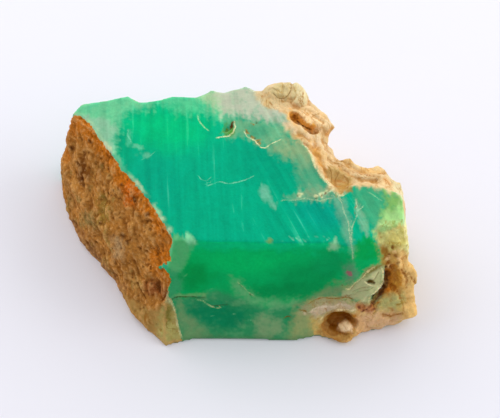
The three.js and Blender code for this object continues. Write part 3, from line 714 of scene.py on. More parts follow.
for streak in ([(10.3, 21.2), (10.1, 20.0), (10.1, 18.8)], [(9.5, 20.3), (9.7, 19.5), (10.0, 18.8)],
               [(4.2, 20.5), (4.6, 20.2)], [(5.2, 19.6), (5.8, 19.0)], [(6.9, 19.7), (8.2, 19.7)]):
    vein((172, 116, 40), RIND, streak, 0.18, 0.85, 0.1, 0.05)
# the upper fold and its tan lobe, which is painted shade at the fold's right end, and the ochre
# crevice under it with a dark slit
zone((226, 192, 144), RIND,
     [(7.4, 18.8), (9.0, 19.4), (10.4, 18.9), (11.8, 18.4), (13.1, 17.4), (14.6, 16.2), (13.5, 15.7),
      (12.4, 16.3), (11.0, 16.6), (10.1, 16.9), (9.4, 17.7), (8.1, 18.2)], 0.9, 0.5, 0.2)
zone((206, 150, 80), RIND, [(12.9, 16.2), (14.6, 16.3), (15, 15.5), (13.8, 14.4), (12.6, 15.1)],
     0.85, 0.5, 0.2)
zone((232, 196, 146), FOLD,
     [(9.4, 18.3), (10.8, 18.0), (12.8, 17.2), (13.2, 16.0), (12.4, 15.1), (11.6, 15.2), (10.8, 16.2),
      (9.8, 17.0)], 0.9, 0.35, 0.15)
zone((210, 150, 58), CREVICE,
     [(7.8, 18.2), (8.7, 18.4), (9.4, 17.7), (9.8, 17.0), (10.5, 16.4), (11.3, 16.4), (11.9, 15.9),
      (11.4, 15.2), (10.4, 15.6), (9.4, 16.5), (7.9, 16.8)], 0.95, 0.35, 0.15)
zone((116, 64, 6), CREVICE, [(8.3, 17.2), (8.8, 17.9), (9.4, 17.5), (9.0, 17.0)], 0.8, 0.4, 0.1)
vein((70, 34, 4), CREVICE, [(9.1, 17.0), (9.9, 16.2), (10.5, 15.8), (11.3, 15.5)], 0.13, 1.0, 0, 0.06)
# the middle fold, the tan hollow on its left and the orange band below it
zone((226, 196, 154), RIND,
     [(7.0, 16.6), (8.5, 16.7), (9.6, 15.9), (10.7, 15.2), (12.1, 14.9), (13.0, 14.1), (12.4, 12.6),
      (11.5, 12.9), (10.2, 13.6), (9.3, 13.6), (8.5, 14.7), (7.5, 15.4)], 0.9, 0.5, 0.2)
zone((200, 160, 92), RIND, [(8.1, 15.3), (9.6, 15.2), (10.5, 14.1), (9.5, 13.5), (8.7, 14.2)],
     0.85, 0.5, 0.2)
zone((212, 150, 64), RIND,
     [(10.4, 13.4), (11.8, 13.1), (12.6, 12.0), (12.8, 10.8), (13.4, 10.1), (13.0, 9.0), (11.9, 10.3),
      (11.5, 11.7)], 0.85, 0.5, 0.25)
# the long fold, fine lines along it, its two knobs and the smooth pan
zone((228, 196, 144), RIND,
     [(12.7, 14.6), (13.9, 13.2), (15.1, 12.0), (16.6, 10.8), (18.3, 9.4), (20.4, 9.0), (22.6, 7.9),
      (21.9, 6.8), (19.6, 7.3), (17.5, 7.6), (16.3, 8.4), (15.0, 9.8), (13.4, 10.6), (12.6, 12.0)],
     0.85, 0.5, 0.2)
zone((190, 156, 92), RIND,
     [(12.8, 10.0), (14.1, 10.5), (15.3, 9.9), (16.6, 8.7), (16.2, 7.4), (15.2, 6.8), (14.3, 6.7),
      (13.6, 7.6), (13.2, 8.7)], 0.95, 0.4, 0.15)
# painted shade along the lower right of the pan
zone((168, 124, 48), RIND, [(14.6, 7.5), (16.3, 8.1), (16.3, 7.2), (15.2, 6.6), (14.4, 6.8)],
     0.8, 0.5, 0.2)
zone((234, 196, 128), RIND,
     [(15.0, 12.0), (16.0, 12.5), (17.2, 11.5), (17.5, 10.4), (16.4, 10.5), (15.4, 11.2)],
     0.8, 0.5, 0.2)
zone((234, 190, 120), RIND,
     [(17.5, 10.6), (18.9, 11.0), (20.2, 11.2), (21.2, 10.1), (21.0, 9.3), (19.5, 9.2), (18.0, 9.5)],
     0.85, 0.4, 0.2)
zone((214, 150, 76), RIND, [(20.6, 9.0), (21.3, 8.9), (22.3, 7.9), (21.8, 7.7)], 0.85, 0.4, 0.2)
zone((224, 212, 166), RIND,
     [(21.3, 9.4), (23.2, 9.0), (24.6, 7.3), (24.6, 5.5), (22.8, 6.0), (21.9, 7.2), (22.3, 8.0)],
     0.85, 0.6, 0.3)
# brown creases under the knobs: crease stain, and painted shade beneath the knobs
for crease in ([(16.5, 9.6), (17.3, 9.5), (18.6, 9.1), (20.0, 9.0)], [(19.7, 9.2), (21.3, 9.4)]):
    vein((168, 98, 30), RIND, crease, 0.12, 0.9, 0.2, 0.08)
for crease in ([(13.2, 11.6), (14.5, 10.8), (16.0, 10.1)], [(12.9, 13.0), (13.8, 11.9), (15.2, 11.0)],
               [(13.6, 11.0), (15.0, 10.3), (16.4, 9.2)], [(9.0, 18.6), (10.6, 17.6), (12.0, 17.2)]):
    vein((186, 130, 64), RIND, crease, 0.11, 0.8, 0.3, 0.03)
vein((228, 218, 168), TOP_SEEN,
     [(10.0, 13.5), (10.9, 12.3), (11.3, 10.9), (11.7, 9.9), (12.4, 9.0), (13.1, 8.1), (13.6, 7.3),
      (14.1, 6.6), (14.8, 6.2), (15.6, 6.5)], 0.2, 0.9, 0.1, -0.05)

# The lower right corner turns from pale yellow through tan to an orange hollow, with a peach ridge
# outside it. A strip of chalcedony runs under it to a second hollow, where a pale pebble is left.
zone((124, 142, 82), FRONT,
     [(15.1, -6.0), (16.8, -5.3), (18.5, -3.6), (19.9, -2.6), (21.1, -2.2), (21.6, -2.9), (20.2, -3.6),
      (18.7, -4.6), (17.5, -5.8), (15.6, -6.7)], 0.8, 0.8, 0.5)
zone((160, 208, 134), CORNER_RIM,
     [(20.4, 3.6), (22.2, 4.6), (24.2, 3.4), (24.4, 2.0), (22.6, 2.2), (21.4, 1.8), (20.0, 0.8),
      (19.0, 0.6)], 0.9, 0.5, 0.3)
zone((212, 208, 132), CORNER_TOP,
     [(19.6, 0.9), (20.8, 1.6), (22.2, 2.0), (24.6, 2.2), (24.4, -1.2), (22.4, -1.4), (20.8, -0.9),
      (19.8, 0.0)], 1.0, 0.5, 0.3)
zone((204, 188, 104), CORNER_TOP,
     [(20.6, 0.8), (21.6, 1.4), (22.6, 1.2), (23.2, 0.1), (22.6, -0.7), (21.5, -0.9), (20.8, -0.3)],
     0.8, 0.5, 0.3)
zone((226, 224, 158), CORNER_RIM, [(23.6, 3.4), (24.8, 3.0), (25.2, -2.4), (23.6, -1.6), (23.7, 0.6)],
     0.9, 0.4, 0.25)
zone((166, 158, 70), CORNER_TOP, [(22.6, 2.2), (23.2, 2.1), (23.2, 1.2), (22.7, 0.7)], 0.8, 0.3, 0.2)
zone((170, 156, 76), CORNER_TOP, [(23.2, 1.5), (23.7, 1.4), (23.8, 0.2), (23.0, -0.7), (22.8, -0.3)],
     0.8, 0.3, 0.2)
zone((180, 134, 60), CORNER,
     [(20.0, -0.5), (21.1, -0.9), (22.6, -0.9), (23.4, -2.7), (22.3, -2.9), (20.7, -2.8), (20.0, -1.9)],
     0.85, 0.8, 0.5)
zone((212, 172, 108), CORNER,
     [(22.6, -0.9), (24.2, -2.0), (25.3, -3.6), (26.2, -5.2), (26.2, -7.3), (26.2, -9.9), (24.8, -11.5),
      (23.0, -10.7), (23.7, -8.8), (23.6, -6.8), (23.1, -4.6), (22.4, -2.9)], 0.8, 0.7, 0.4)
zone((168, 100, 4), CORNER,
     [(20.7, -2.8), (22.2, -2.8), (23.1, -4.4), (23.2, -6.2), (22.4, -7.3), (21.0, -7.9), (20.3, -9.0),
      (19.5, -9.4), (19.3, -8.4), (20.2, -7.0), (20.8, -5.6)], 0.95, 0.8, 0.5)
zone((204, 152, 62), CORNER, [(22.0, -3.4), (22.8, -4.2), (23.0, -5.8), (22.3, -6.6), (22.1, -5.0)],
     0.8, 0.6, 0.5)
# painted shadow of the plate, darkening the hollow along its edge
zone((70, 34, 0), CORNER,
     [(20.8, -3.4), (21.6, -4.1), (21.6, -5.6), (21.0, -6.9), (20.4, -7.8), (19.9, -8.9), (19.2, -8.5),
      (19.8, -7.0), (20.5, -6.2), (20.6, -4.8)], 1.0, 0.4, 0.3)
zone((164, 166, 106), CORNER,
     [(20.3, -7.9), (21.2, -7.4), (22.2, -7.0), (23.2, -7.2), (23.6, -8.2), (22.7, -9.4), (21.3, -9.7),
      (20.0, -9.3)], 0.85, 1.0, 0.6)
vein((140, 112, 30), CORNER, [(22.5, -8.7), (23.6, -8.4)], 0.2, 0.8, 0.1, 0.1)
for dark in ((21.7, -0.6), (21.2, -1.6), (22.0, -1.9), (21.2, -2.8), (22.6, -2.9)):
    spot((110, 62, 6), CORNER, dark, 0.26)
for pale in ((21.9, -1.2), (21.0, -2.2), (22.6, -2.3), (21.4, -3.3)):
    spot((220, 184, 128), CORNER, pale, 0.3)
zone((128, 88, 18), CORNER, [(20.2, -0.1), (20.9, -0.5), (21.0, -2.0), (20.5, -2.5), (20.1, -1.2)],
     0.8, 0.4, 0.4)
for valley in ([(21.1, -2.6), (21.7, -3.3), (22.6, -3.1)], [(23.0, -3.6), (24.0, -5.3), (23.8, -6.5)],
               [(24.0, -4.1), (25.0, -5.6), (25.6, -6.7)], [(20.2, -8.2), (20.1, -9.3), (19.3, -10.1)],
               [(21.6, -5.6), (22.6, -6.6), (23.2, -8.0)],
               [(20.6, -10.2), (22.0, -10.4), (23.6, -10.0)]):
    vein((140, 84, 16), CORNER, valley, 0.18, 0.8, 0.4, 0.22)
# the strip under the plate, paler in the middle, with a rusty end
zone((150, 146, 108), CORNER,
     [(9.6, -8.8), (11.5, -7.9), (13.5, -7.8), (15.5, -7.8), (17.0, -8.2), (17.2, -9.3), (16.3, -9.6),
      (14.6, -9.6), (13.4, -10.0), (12.2, -10.7), (11.1, -10.4), (9.4, -9.8)], 0.9, 0.7, 0.4)
zone((186, 164, 138), CORNER,
     [(10.8, -9.6), (12.6, -8.7), (15.6, -8.2), (17.0, -8.7), (16.2, -9.4), (13.6, -9.4),
      (11.8, -10.2)], 0.85, 0.45, 0.3)
vein((206, 192, 164), CORNER, [(9.8, -9.8), (11.2, -9.4), (12.6, -9.0), (14.0, -8.9), (15.4, -8.6)],
     0.18, 0.7, 0.5)
zone((166, 104, 68), CORNER,
     [(17.1, -8.2), (18.4, -8.3), (19.4, -8.5), (19.9, -9.2), (19.0, -9.9), (17.9, -9.7), (17.1, -9.1)],
     0.85, 0.4, 0.3)
zone((198, 158, 122), CORNER,
     [(17.3, -9.8), (19.3, -9.8), (21.8, -9.7), (23.8, -10.5), (22.4, -12.4), (19.8, -13.4),
      (18.1, -12.5), (17.2, -11.5)], 0.85, 1.0, 0.5)
# the lower hollow, its pale pebble and its lip
zone((160, 104, 26), CORNER,
     [(12.3, -11.7), (13.1, -10.3), (14.1, -9.6), (15.6, -9.6), (17.3, -9.8), (17.1, -10.9),
      (17.4, -11.8), (16.9, -12.6), (15.8, -12.9), (14.3, -13.0), (12.9, -12.6)], 0.95, 0.4, 0.3)
zone((186, 146, 84), CORNER, [(12.7, -11.9), (13.1, -10.9), (13.8, -11.1), (13.6, -12.2)],
     0.8, 0.5, 0.4)
zone((100, 54, 0), HOLLOW,
     [(13.0, -10.9), (14.1, -9.9), (16.6, -9.8), (16.8, -10.8), (15.7, -10.7), (15.0, -11.3),
      (14.6, -12.3), (13.9, -12.3), (13.3, -11.7)], 0.9, 0.5, 0.2)
zone((222, 196, 158), CORNER,
     [(14.9, -11.4), (15.8, -10.9), (16.8, -11.2), (17.3, -11.9), (16.5, -12.5), (15.4, -12.5),
      (14.9, -12.0)], 0.8, 0.4, 0.3)
zone((176, 134, 80), CORNER,
     [(12.3, -12.3), (13.6, -12.9), (15.7, -13.2), (17.5, -12.7), (18.9, -12.2), (18.3, -14),
      (16.6, -14.6), (14.3, -14.4), (12.6, -13.6)], 0.85, 0.4, 0.2)
zone((150, 98, 34), CORNER,
     [(12.0, -11.4), (12.4, -12.8), (13.6, -13.8), (14.8, -14.4), (15.2, -13.6), (13.9, -12.9),
      (12.9, -12.2)], 0.8, 0.5, 0.3)
zone((192, 150, 102), HOLLOW_WALL,
     [(16.9, -10.6), (17.7, -10.3), (18.6, -11.2), (18.5, -12.6), (17.2, -12.8), (17.4, -11.8)],
     0.9, 0.4, 0.5)
zone((176, 132, 70), HOLLOW_RING,
     [(12.4, -11.2), (12.8, -10.7), (13.4, -11.2), (13.9, -12.4), (15.0, -12.9), (14.4, -13.4),
      (13.0, -12.8)], 0.8, 0.35, 0.5)
vein((120, 78, 34), CORNER, [(14.7, -12.3), (15.6, -12.9), (17.0, -12.6)], 0.12, 0.8, 0.15, 0.08)
vein((206, 188, 142), CORNER,
     [(12.2, -10.7), (12.6, -10.4), (13.4, -9.9), (14.6, -9.4), (16.2, -9.3), (17.2, -9.2)],
     0.16, 0.8, 0.15, -0.05)

# A plate of grey chalcedony stands out from the front beside the upper hollow. It is built up of thin
# layers, and its edge is bright, with a dark line of painted shadow and crumbs of the rind beside it.
PLATE = [(17.9, -3.7), (19.0, -3.2), (20.1, -3.2), (20.7, -3.5), (20.6, -4.5), (20.7, -5.3),
         (20.4, -6.2), (19.8, -6.7), (19.1, -7.4), (19.0, -8.4), (18.4, -8.6), (17.4, -8.2),
         (16.2, -7.9), (15.3, -7.6), (15.3, -6.6), (16.3, -5.8), (17.2, -4.8)]
zone((148, 150, 110), FRONT, PLATE, 1.0, 0.5, 0.3)
zone((176, 176, 128), FRONT,
     [(19.2, -4.4), (20.3, -4.0), (20.4, -5.2), (20.0, -6.2), (19.0, -7.0), (18.6, -6.2), (19.2, -5.4)],
     0.8, 0.6, 0.4)
zone((96, 84, 18), FRONT,
     [(17.5, -4.6), (18.1, -3.6), (19.2, -3.2), (20.4, -3.1), (20.0, -3.7), (19.0, -4.0), (18.2, -4.5)],
     0.85, 0.4, 0.25)
for layer in ([(16.2, -6.2), (17.2, -5.2), (17.7, -4.7)], [(19.1, -5.8), (19.6, -5.1), (19.9, -4.2)],
              [(15.7, -7.5), (17.0, -7.2), (18.3, -6.6), (19.4, -6.2)],
              [(16.4, -6.8), (17.6, -6.3), (18.6, -6.0)]):
    vein((104, 98, 50), FRONT, layer, 0.10, 0.7, 0.5, 0.08)
zone((62, 44, 6), FRONT, [(18.2, -5.1), (18.9, -5.0), (19.7, -5.5), (19.5, -5.8), (18.6, -5.5)],
     1.0, 0.2, 0.2)
vein((200, 194, 148), FRONT, [(18.0, -5.2), (18.6, -5.7), (19.5, -6.1)], 0.12, 0.9, 0.2)
vein((196, 184, 132), FRONT, [(15.2, -6.4), (16.4, -5.9), (17.4, -4.9), (18.3, -3.9), (19.4, -3.2)],
     0.13, 0.8, 0.5)
vein((124, 82, 28), FRONT,
     [(10.0, -8.8), (11.1, -8.1), (12.1, -7.8), (14.2, -7.8), (15.9, -7.6), (16.7, -7.9)],
     0.12, 0.9, 0.3, 0.08)
vein((206, 196, 146), FRONT,
     [(20.3, -3.4), (20.6, -4.2), (20.5, -5.2), (20.3, -6.1), (19.6, -6.8), (18.9, -7.5), (18.8, -8.2)],
     0.14, 0.9, 0.1)
# the dark line is painted shadow that the plate's edge throws into the hollow, over a shallow cut
vein((60, 28, 4), FRONT,
     [(20.9, -3.1), (20.95, -4.1), (20.85, -5.2), (20.65, -6.2), (19.9, -6.9), (19.3, -7.5),
      (19.2, -8.2), (19.7, -9.0)], 0.16, 1.0, 0.12, 0.25)
for crumb in ((17.6, -8.9), (18.2, -9.5), (19.0, -8.8), (18.6, -9.3), (19.7, -9.3)):
    spot((84, 32, 8), CORNER, crumb, 0.24)

# Hollows are painted darker than their surroundings, and what stands proud paler. On the rind and the back
# this is partly iron stain and partly painted shade and painted highlight; on the crust it is painted shade
# in the pits and painted highlight on the knobs. So each point is compared with the average of those around
# it, once nearby and once further off.
moved = points + normals * lift[:, None]
small, broad = (
    ((np.stack([evened(moved[:, axis], times) for axis in range(3)], 1) - moved) * normals).sum(1)
    for times in (8, 36)
)
wash(tint(206, 152, 80, RIND_LIGHT), 0.45 * rind * high * ramp(broad, 0.08, 0.3))
wash(tint(186, 124, 52, RIND_LIGHT), 0.5 * rind * ramp(small, 0.02, 0.09))
wash(tint(234, 212, 166, RIND_LIGHT), 0.45 * rind * high * ramp(-broad, 0.05, 0.3))
wash(tint(176, 140, 84, TOP_LIGHT), 0.5 * back * ramp(small, 0.02, 0.08))
# and the same for the crust's colours, as painted shade in its pits and painted highlight on its knobs
green_paint = paint
paint = crust_paint
wash(tint(104, 58, 14, CRUST_LIGHT), 0.6 * ramp(broad, 0.05, 0.35))
wash(tint(96, 52, 10, CRUST_LIGHT), 0.6 * ramp(small, 0.01, 0.1))
wash(tint(184, 138, 84, CRUST_LIGHT), 0.5 * ramp(-small, 0.01, 0.08))
crust_paint = paint

# the points are moved, but not out of the solid's bounds
points = np.clip(moved, np.array(cad_low) / MM, np.array(cad_high) / MM)
mesh.vertices.foreach_set("co", (points * MM).ravel())
mesh.update()

# the sawn top rises a little to the back
sawn_height = 15 + 0.05 * points[:, 1]
sawn = ramp(points[:, 2] - sawn_height, -0.5, -0.2) * (1 - crust) * (1 - rind)
for name, values in (("crust_depth", crust_depth), ("sawn", sawn), ("vein_side", vein_side),
                     ("vein_show", vein_show)):
    layer = mesh.attributes.new(name, "FLOAT", "POINT")
    layer.data.foreach_set("value", values)
for name, colours in (("stone_colour", green_paint), ("crust_colour", crust_paint),
                      ("vein_colour", vein_paint)):
    layer = mesh.attributes.new(name, "FLOAT_COLOR", "POINT")
    layer.data.foreach_set("color", np.hstack([colours, np.ones((count, 1))]).ravel())


# The finish. All of the stone shares one skin of colour, grain, veins and saw lines; the three kinds of
# stone differ in how clear and how smooth they are.
def add(tree, kind, **values):
    """Adds a shader node; values go to its settings, or else to its inputs of that name."""
    node = tree.nodes.new("ShaderNode" + kind)
    for name, value in values.items():
        if hasattr(node, name):
            setattr(node, name, value)
        else:
            node.inputs[name].default_value = value
    return node


def join(tree, socket, value):
    """Links a socket to a value, or sets it where the value is a plain number or colour."""
    if isinstance(value, bpy.types.NodeSocket):
        tree.links.new(value, socket)
    else:
        socket.default_value = value


def math_of(tree, operation, *values):
    """Adds a math node that works on sockets or numbers, and gives back its result."""
    node = add(tree, "Math", operation=operation)
    for socket, value in zip(node.inputs, values):
        join(tree, socket, value)
    return node.outputs[0]


def smooth_step(tree, value, low, high):
    """Adds a node that goes smoothly from 0 to 1 as value goes from low to high."""
    node = add(tree, "MapRange", interpolation_type="SMOOTHSTEP")
    for name, given_value in (("Value", value), ("From Min", low), ("From Max", high)):
        join(tree, node.inputs[name], given_value)
    return node.outputs["Result"]


def noise_of(tree, vector, scale, detail=2.0, distortion=0.0):
    """Adds a noise node on a vector and gives back its value."""
    node = add(tree, "TexNoise", Scale=scale, Detail=detail, Distortion=distortion)
    tree.links.new(vector, node.inputs["Vector"])
    return node.outputs[0]


def mix_colours(tree, amount, first, second, blend="MIX"):
    """Adds a node that mixes two colours."""
    node = add(tree, "Mix", data_type="RGBA", blend_type=blend, clamp_result=True)
    for number, value in ((0, amount), (6, first), (7, second)):
        join(tree, node.inputs[number], value)
    return node.outputs[2]


SAW_BRIGHT = (0.2, 0.86, 0.62, 1)
PORE_BROWN = (0.10, 0.03, 0.004, 1)
GLINT_PALE = (0.8, 0.55, 0.3, 1)
BLUSH = (0.95, 0.84, 0.64, 1)
PALER = (1.10, 1.12, 1.16, 1)
IRON_CREASE = (0.80, 0.60, 0.34, 1)

skin = bpy.data.node_groups.new("stone_skin", "ShaderNodeTree")
for name in ("Grain Contrast", "Grain Height", "Stain", "Pores And Glints"):
    skin.interface.new_socket(name, in_out="INPUT", socket_type="NodeSocketFloat")
skin.interface.new_socket("Color", in_out="OUTPUT", socket_type="NodeSocketColor")
skin.interface.new_socket("Roughness", in_out="OUTPUT", socket_type="NodeSocketFloat")
skin.interface.new_socket("Height", in_out="OUTPUT", socket_type="NodeSocketFloat")
given = skin.nodes.new("NodeGroupInput")
result = skin.nodes.new("NodeGroupOutput")
place = add(skin, "TexCoord").outputs["Object"]
split = add(skin, "SeparateXYZ")
skin.links.new(place, split.inputs[0])


def carried(name, output="Fac"):
    """Adds a node that reads what the mesh carries under that name."""
    return add(skin, "Attribute", attribute_name=name).outputs[output]


def centred(value, gain):
    """A noise value less its middle, times gain."""
    return math_of(skin, "MULTIPLY", math_of(skin, "SUBTRACT", value, 0.5), gain)


# the saw left two sets of fine lines on the top, which fan out a little to the right
saw_families = []
for slant, seed in ((0.06, 0.0), (0.46, 5.0)):
    across = math_of(skin, "MULTIPLY_ADD", split.outputs["Y"], slant, split.outputs["X"])
    lines = add(skin, "CombineXYZ", Z=seed)
    skin.links.new(math_of(skin, "MULTIPLY", across, 1 / (0.9 * MM)), lines.inputs["X"])
    skin.links.new(math_of(skin, "MULTIPLY", split.outputs["Y"], 1 / (16 * MM)), lines.inputs["Y"])
    saw_families.append(noise_of(skin, lines.outputs[0], 1.0, 6.0))
fan = smooth_step(skin, split.outputs["X"], -3 * MM, 8 * MM)
saw_lines = add(skin, "Mix", data_type="FLOAT")
for number, value in ((0, fan), (2, saw_families[0]), (3, saw_families[1])):
    join(skin, saw_lines.inputs[number], value)
saw_lines = saw_lines.outputs[0]
sawn_here = carried("sawn")
saw_gain = math_of(skin, "MULTIPLY", centred(saw_lines, 0.8), sawn_here)
bright_lines = math_of(skin, "MULTIPLY", smooth_step(skin, saw_lines, 0.60, 0.78), sawn_here)

# clouds, grains and specks at three scales make the colour uneven
cloud = noise_of(skin, place, 1 / (2.6 * MM), 6.0, 1.2)
grain = noise_of(skin, place, 1 / (0.34 * MM), 3.0)
speck = noise_of(skin, place, 1 / (0.16 * MM), 2.0)
# the brightest saw lines are painted paler: partly their own pale colour, partly painted sheen on the
# scratches
saw_shine = math_of(skin, "MULTIPLY", bright_lines, 0.28)
body = mix_colours(skin, saw_shine, carried("stone_colour", "Color"), SAW_BRIGHT)
crust_edge = math_of(skin, "MULTIPLY_ADD", math_of(skin, "SUBTRACT", grain, 0.5), 0.5,
                     carried("crust_depth"))
is_crust = smooth_step(skin, crust_edge, -0.03, 0.03)

# round pores in the crust, and pale specks on it, which are painted glints
pore_cells = add(skin, "TexVoronoi", Scale=1 / (0.95 * MM))
shaken = add(skin, "VectorMath", operation="MULTIPLY_ADD")
shaken.inputs[1].default_value = (0.9 * MM, 0.9 * MM, 0.9 * MM)
shake = add(skin, "TexNoise", Scale=1 / (0.9 * MM))
skin.links.new(place, shake.inputs["Vector"])
skin.links.new(shake.outputs["Color"], shaken.inputs[0])
skin.links.new(place, shaken.inputs[2])
skin.links.new(shaken.outputs[0], pore_cells.inputs["Vector"])
pore = math_of(skin, "MULTIPLY", smooth_step(skin, pore_cells.outputs["Distance"], 0.28, 0.10),
               given.outputs["Pores And Glints"])
pore = math_of(skin, "MULTIPLY", pore, smooth_step(skin, cloud, 0.44, 0.60))
painted_glint = math_of(skin, "MULTIPLY", smooth_step(skin, speck, 0.64, 0.76), given.outputs["Pores And Glints"])
whole = mix_colours(skin, is_crust, body, carried("crust_colour", "Color"))
whole = mix_colours(skin, math_of(skin, "MULTIPLY", pore, 0.6), whole, PORE_BROWN)
whole = mix_colours(skin, math_of(skin, "MULTIPLY", painted_glint, 0.4), whole, GLINT_PALE)

# ochre creases, and paler and darker peach between them, in the rind
folded = add(skin, "Mapping")
folded.inputs["Rotation"].default_value = (0, 0, math.radians(-40))
folded.inputs["Scale"].default_value = (1.0, 0.5, 1.0)
skin.links.new(place, folded.inputs["Vector"])
crease_lines = noise_of(skin, folded.outputs[0], 1 / (1.6 * MM), 5.0, 0.8)
blush = noise_of(skin, folded.outputs[0], 1 / (1.0 * MM), 4.0, 0.5)
crease = smooth_step(skin, math_of(skin, "ABSOLUTE", centred(crease_lines, 1.0)), 0.035, 0.0)
crease = math_of(skin, "MULTIPLY", crease, smooth_step(skin, cloud, 0.42, 0.56))
crease = math_of(skin, "MULTIPLY", crease, given.outputs["Stain"])
blushed = math_of(skin, "MULTIPLY", smooth_step(skin, blush, 0.52, 0.70), given.outputs["Stain"])
paled = math_of(skin, "MULTIPLY", smooth_step(skin, blush, 0.46, 0.30), given.outputs["Stain"])
whole = mix_colours(skin, blushed, whole, BLUSH, "MULTIPLY")
whole = mix_colours(skin, paled, whole, PALER, "MULTIPLY")
whole = mix_colours(skin, crease, whole, IRON_CREASE, "MULTIPLY")

# veins and cracks, thin lines whose width wavers and whose strength comes and goes
vein_gap = math_of(skin, "ABSOLUTE", math_of(skin, "ADD", carried("vein_side"), centred(grain, 1.8)))
vein_here = math_of(skin, "MULTIPLY", smooth_step(skin, vein_gap, 1.1, 0.4), carried("vein_show"))
vein_here = math_of(skin, "MULTIPLY", vein_here, smooth_step(skin, speck, 0.28, 0.56))
fading = math_of(skin, "MULTIPLY_ADD", smooth_step(skin, shake.outputs["Fac"], 0.38, 0.56), 0.65, 0.35)
vein_here = math_of(skin, "MULTIPLY", vein_here, fading)
whole = mix_colours(skin, vein_here, whole, carried("vein_colour", "Color"))

uneven = math_of(skin, "ADD", centred(grain, 1.6), math_of(skin, "ADD", centred(speck, 1.0),
                                                           centred(cloud, 2.0)))
gain = math_of(skin, "MULTIPLY_ADD", uneven, given.outputs["Grain Contrast"], 1.0)
gain = math_of(skin, "ADD", gain, math_of(skin, "MULTIPLY", saw_gain, 0.9))
bright = add(skin, "VectorMath", operation="SCALE")
skin.links.new(whole, bright.inputs[0])
skin.links.new(gain, bright.inputs["Scale"])
skin.links.new(bright.outputs[0], result.inputs["Color"])
rough = math_of(skin, "MULTIPLY_ADD", is_crust, 0.35, 0.42)
skin.links.new(math_of(skin, "ADD", centred(grain, 0.3), rough), result.inputs["Roughness"])
height = math_of(skin, "MULTIPLY", math_of(skin, "ADD", grain, speck), given.outputs["Grain Height"])
height = math_of(skin, "MULTIPLY_ADD", saw_gain, 0.03, height)
height = math_of(skin, "MULTIPLY_ADD", pore, -0.12, height)
height = math_of(skin, "MULTIPLY_ADD", vein_here, -0.03, height)
height = math_of(skin, "MULTIPLY_ADD", crease, -0.08, height)
height = math_of(skin, "MULTIPLY_ADD", paled, 0.06, height)
skin.links.new(height, result.inputs["Height"])


def stone_material(name, contrast, height, stain, pores, gloss, clear, radius):
    """One kind of stone: how uneven, stained and porous its skin is, how glossy and how clear it is. How
    porous it is also sets how many painted glints it has.
    """
    material = bpy.data.materials.new(name)
    material.use_nodes = True
    tree = material.node_tree
    shader = tree.nodes["Principled BSDF"]
    shader.inputs["Specular IOR Level"].default_value = gloss
    shader.inputs["Subsurface Weight"].default_value = clear
    shader.inputs["Subsurface Radius"].default_value = radius
    shader.inputs["Subsurface Scale"].default_value = 1.0 * MM
    surface = tree.nodes.new("ShaderNodeGroup")
    surface.node_tree = skin
    surface.inputs["Grain Contrast"].default_value = contrast
    surface.inputs["Grain Height"].default_value = height
    surface.inputs["Stain"].default_value = stain
    surface.inputs["Pores And Glints"].default_value = pores
    tree.links.new(surface.outputs["Color"], shader.inputs["Base Color"])
    tree.links.new(surface.outputs["Roughness"], shader.inputs["Roughness"])
    bump = add(tree, "Bump", Strength=1.0, Distance=1.0 * MM)
    tree.links.new(surface.outputs["Height"], bump.inputs["Height"])
    tree.links.new(bump.outputs["Normal"], shader.inputs["Normal"])
    return material


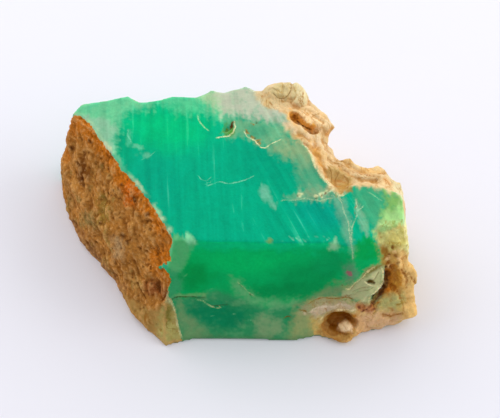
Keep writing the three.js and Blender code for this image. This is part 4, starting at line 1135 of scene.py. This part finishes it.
mesh.materials.clear()
mesh.materials.append(stone_material(
    "green_chalcedony", contrast=0.16, height=0.01, stain=0.0, pores=0.0, gloss=0.03, clear=0.7,
    radius=(0.3, 0.8, 0.6)))
mesh.materials.append(stone_material(
    "rind_chalcedony", contrast=0.24, height=0.06, stain=0.8, pores=0.0, gloss=0.08, clear=0.15,
    radius=(0.5, 0.4, 0.25)))
mesh.materials.append(stone_material(
    "iron_crust", contrast=0.55, height=0.10, stain=0.0, pores=1.0, gloss=0.04, clear=0.0,
    radius=(0.1, 0.1, 0.1)))
corner_starts = np.empty(len(mesh.polygons), int)
mesh.polygons.foreach_get("loop_start", corner_starts)
first_corner = np.empty(len(mesh.loops), int)
mesh.loops.foreach_get("vertex_index", first_corner)
first_corner = first_corner[corner_starts]
GREEN_KIND, RIND_KIND, CRUST_KIND = range(3)
kinds = np.where(rind_depth > 0, RIND_KIND, GREEN_KIND)
kinds = np.where(crust_depth > 0, np.where(foot > 0.5, RIND_KIND, CRUST_KIND), kinds)[first_corner]
mesh.polygons.foreach_set("material_index", kinds)

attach(stone, "root")
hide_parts("chrysocolla_stone")

# The stone lies on a sheet of white card. The room around it is pale, and broad soft lights stand at its
# sides and behind it, the strongest at the right, so that its shadow falls faintly to the left and to
# the front.
CARD_SIZE = 1.6
CARD_COLOUR = (0.80, 0.795, 0.865, 1)
bpy.ops.mesh.primitive_plane_add(size=CARD_SIZE)
card = bpy.context.object
card.name = "card"
card_white = bpy.data.materials.new("white_card")
card_white.use_nodes = True
card_shader = card_white.node_tree.nodes["Principled BSDF"]
card_shader.inputs["Base Color"].default_value = CARD_COLOUR
card_shader.inputs["Roughness"].default_value = 0.9
card_shader.inputs["Specular IOR Level"].default_value = 0.0
card.data.materials.append(card_white)

ROOM_BRIGHTNESS = 0.58
LIGHT_DISTANCE = 0.6
LIGHT_SIZE = 0.5
SOFT_LIGHTS = [
    ("light_right", 0, 25, 1.9), ("light_back_right", 45, 25, 0.8), ("light_back", 90, 25, 0.7),
    ("light_back_left", 135, 40, 1.4), ("light_left", 180, 25, 0.5)
]
for name, around, up, power in SOFT_LIGHTS:
    around, up = math.radians(around), math.radians(up)
    place = Vector((math.cos(up) * math.cos(around), math.cos(up) * math.sin(around), math.sin(up)))
    bpy.ops.object.light_add(type="AREA", location=place * LIGHT_DISTANCE)
    light = bpy.context.object
    light.name = name
    light.rotation_euler = (-place).to_track_quat("-Z", "Y").to_euler()
    light.data.size = LIGHT_SIZE
    light.data.energy = power
room = bpy.data.worlds.new("pale_room")
room.use_nodes = True
room.node_tree.nodes["Background"].inputs["Color"].default_value = (1, 1, 1, 1)
room.node_tree.nodes["Background"].inputs["Strength"].default_value = ROOM_BRIGHTNESS
bpy.context.scene.world = room
bpy.context.scene.view_settings.view_transform = "Standard"
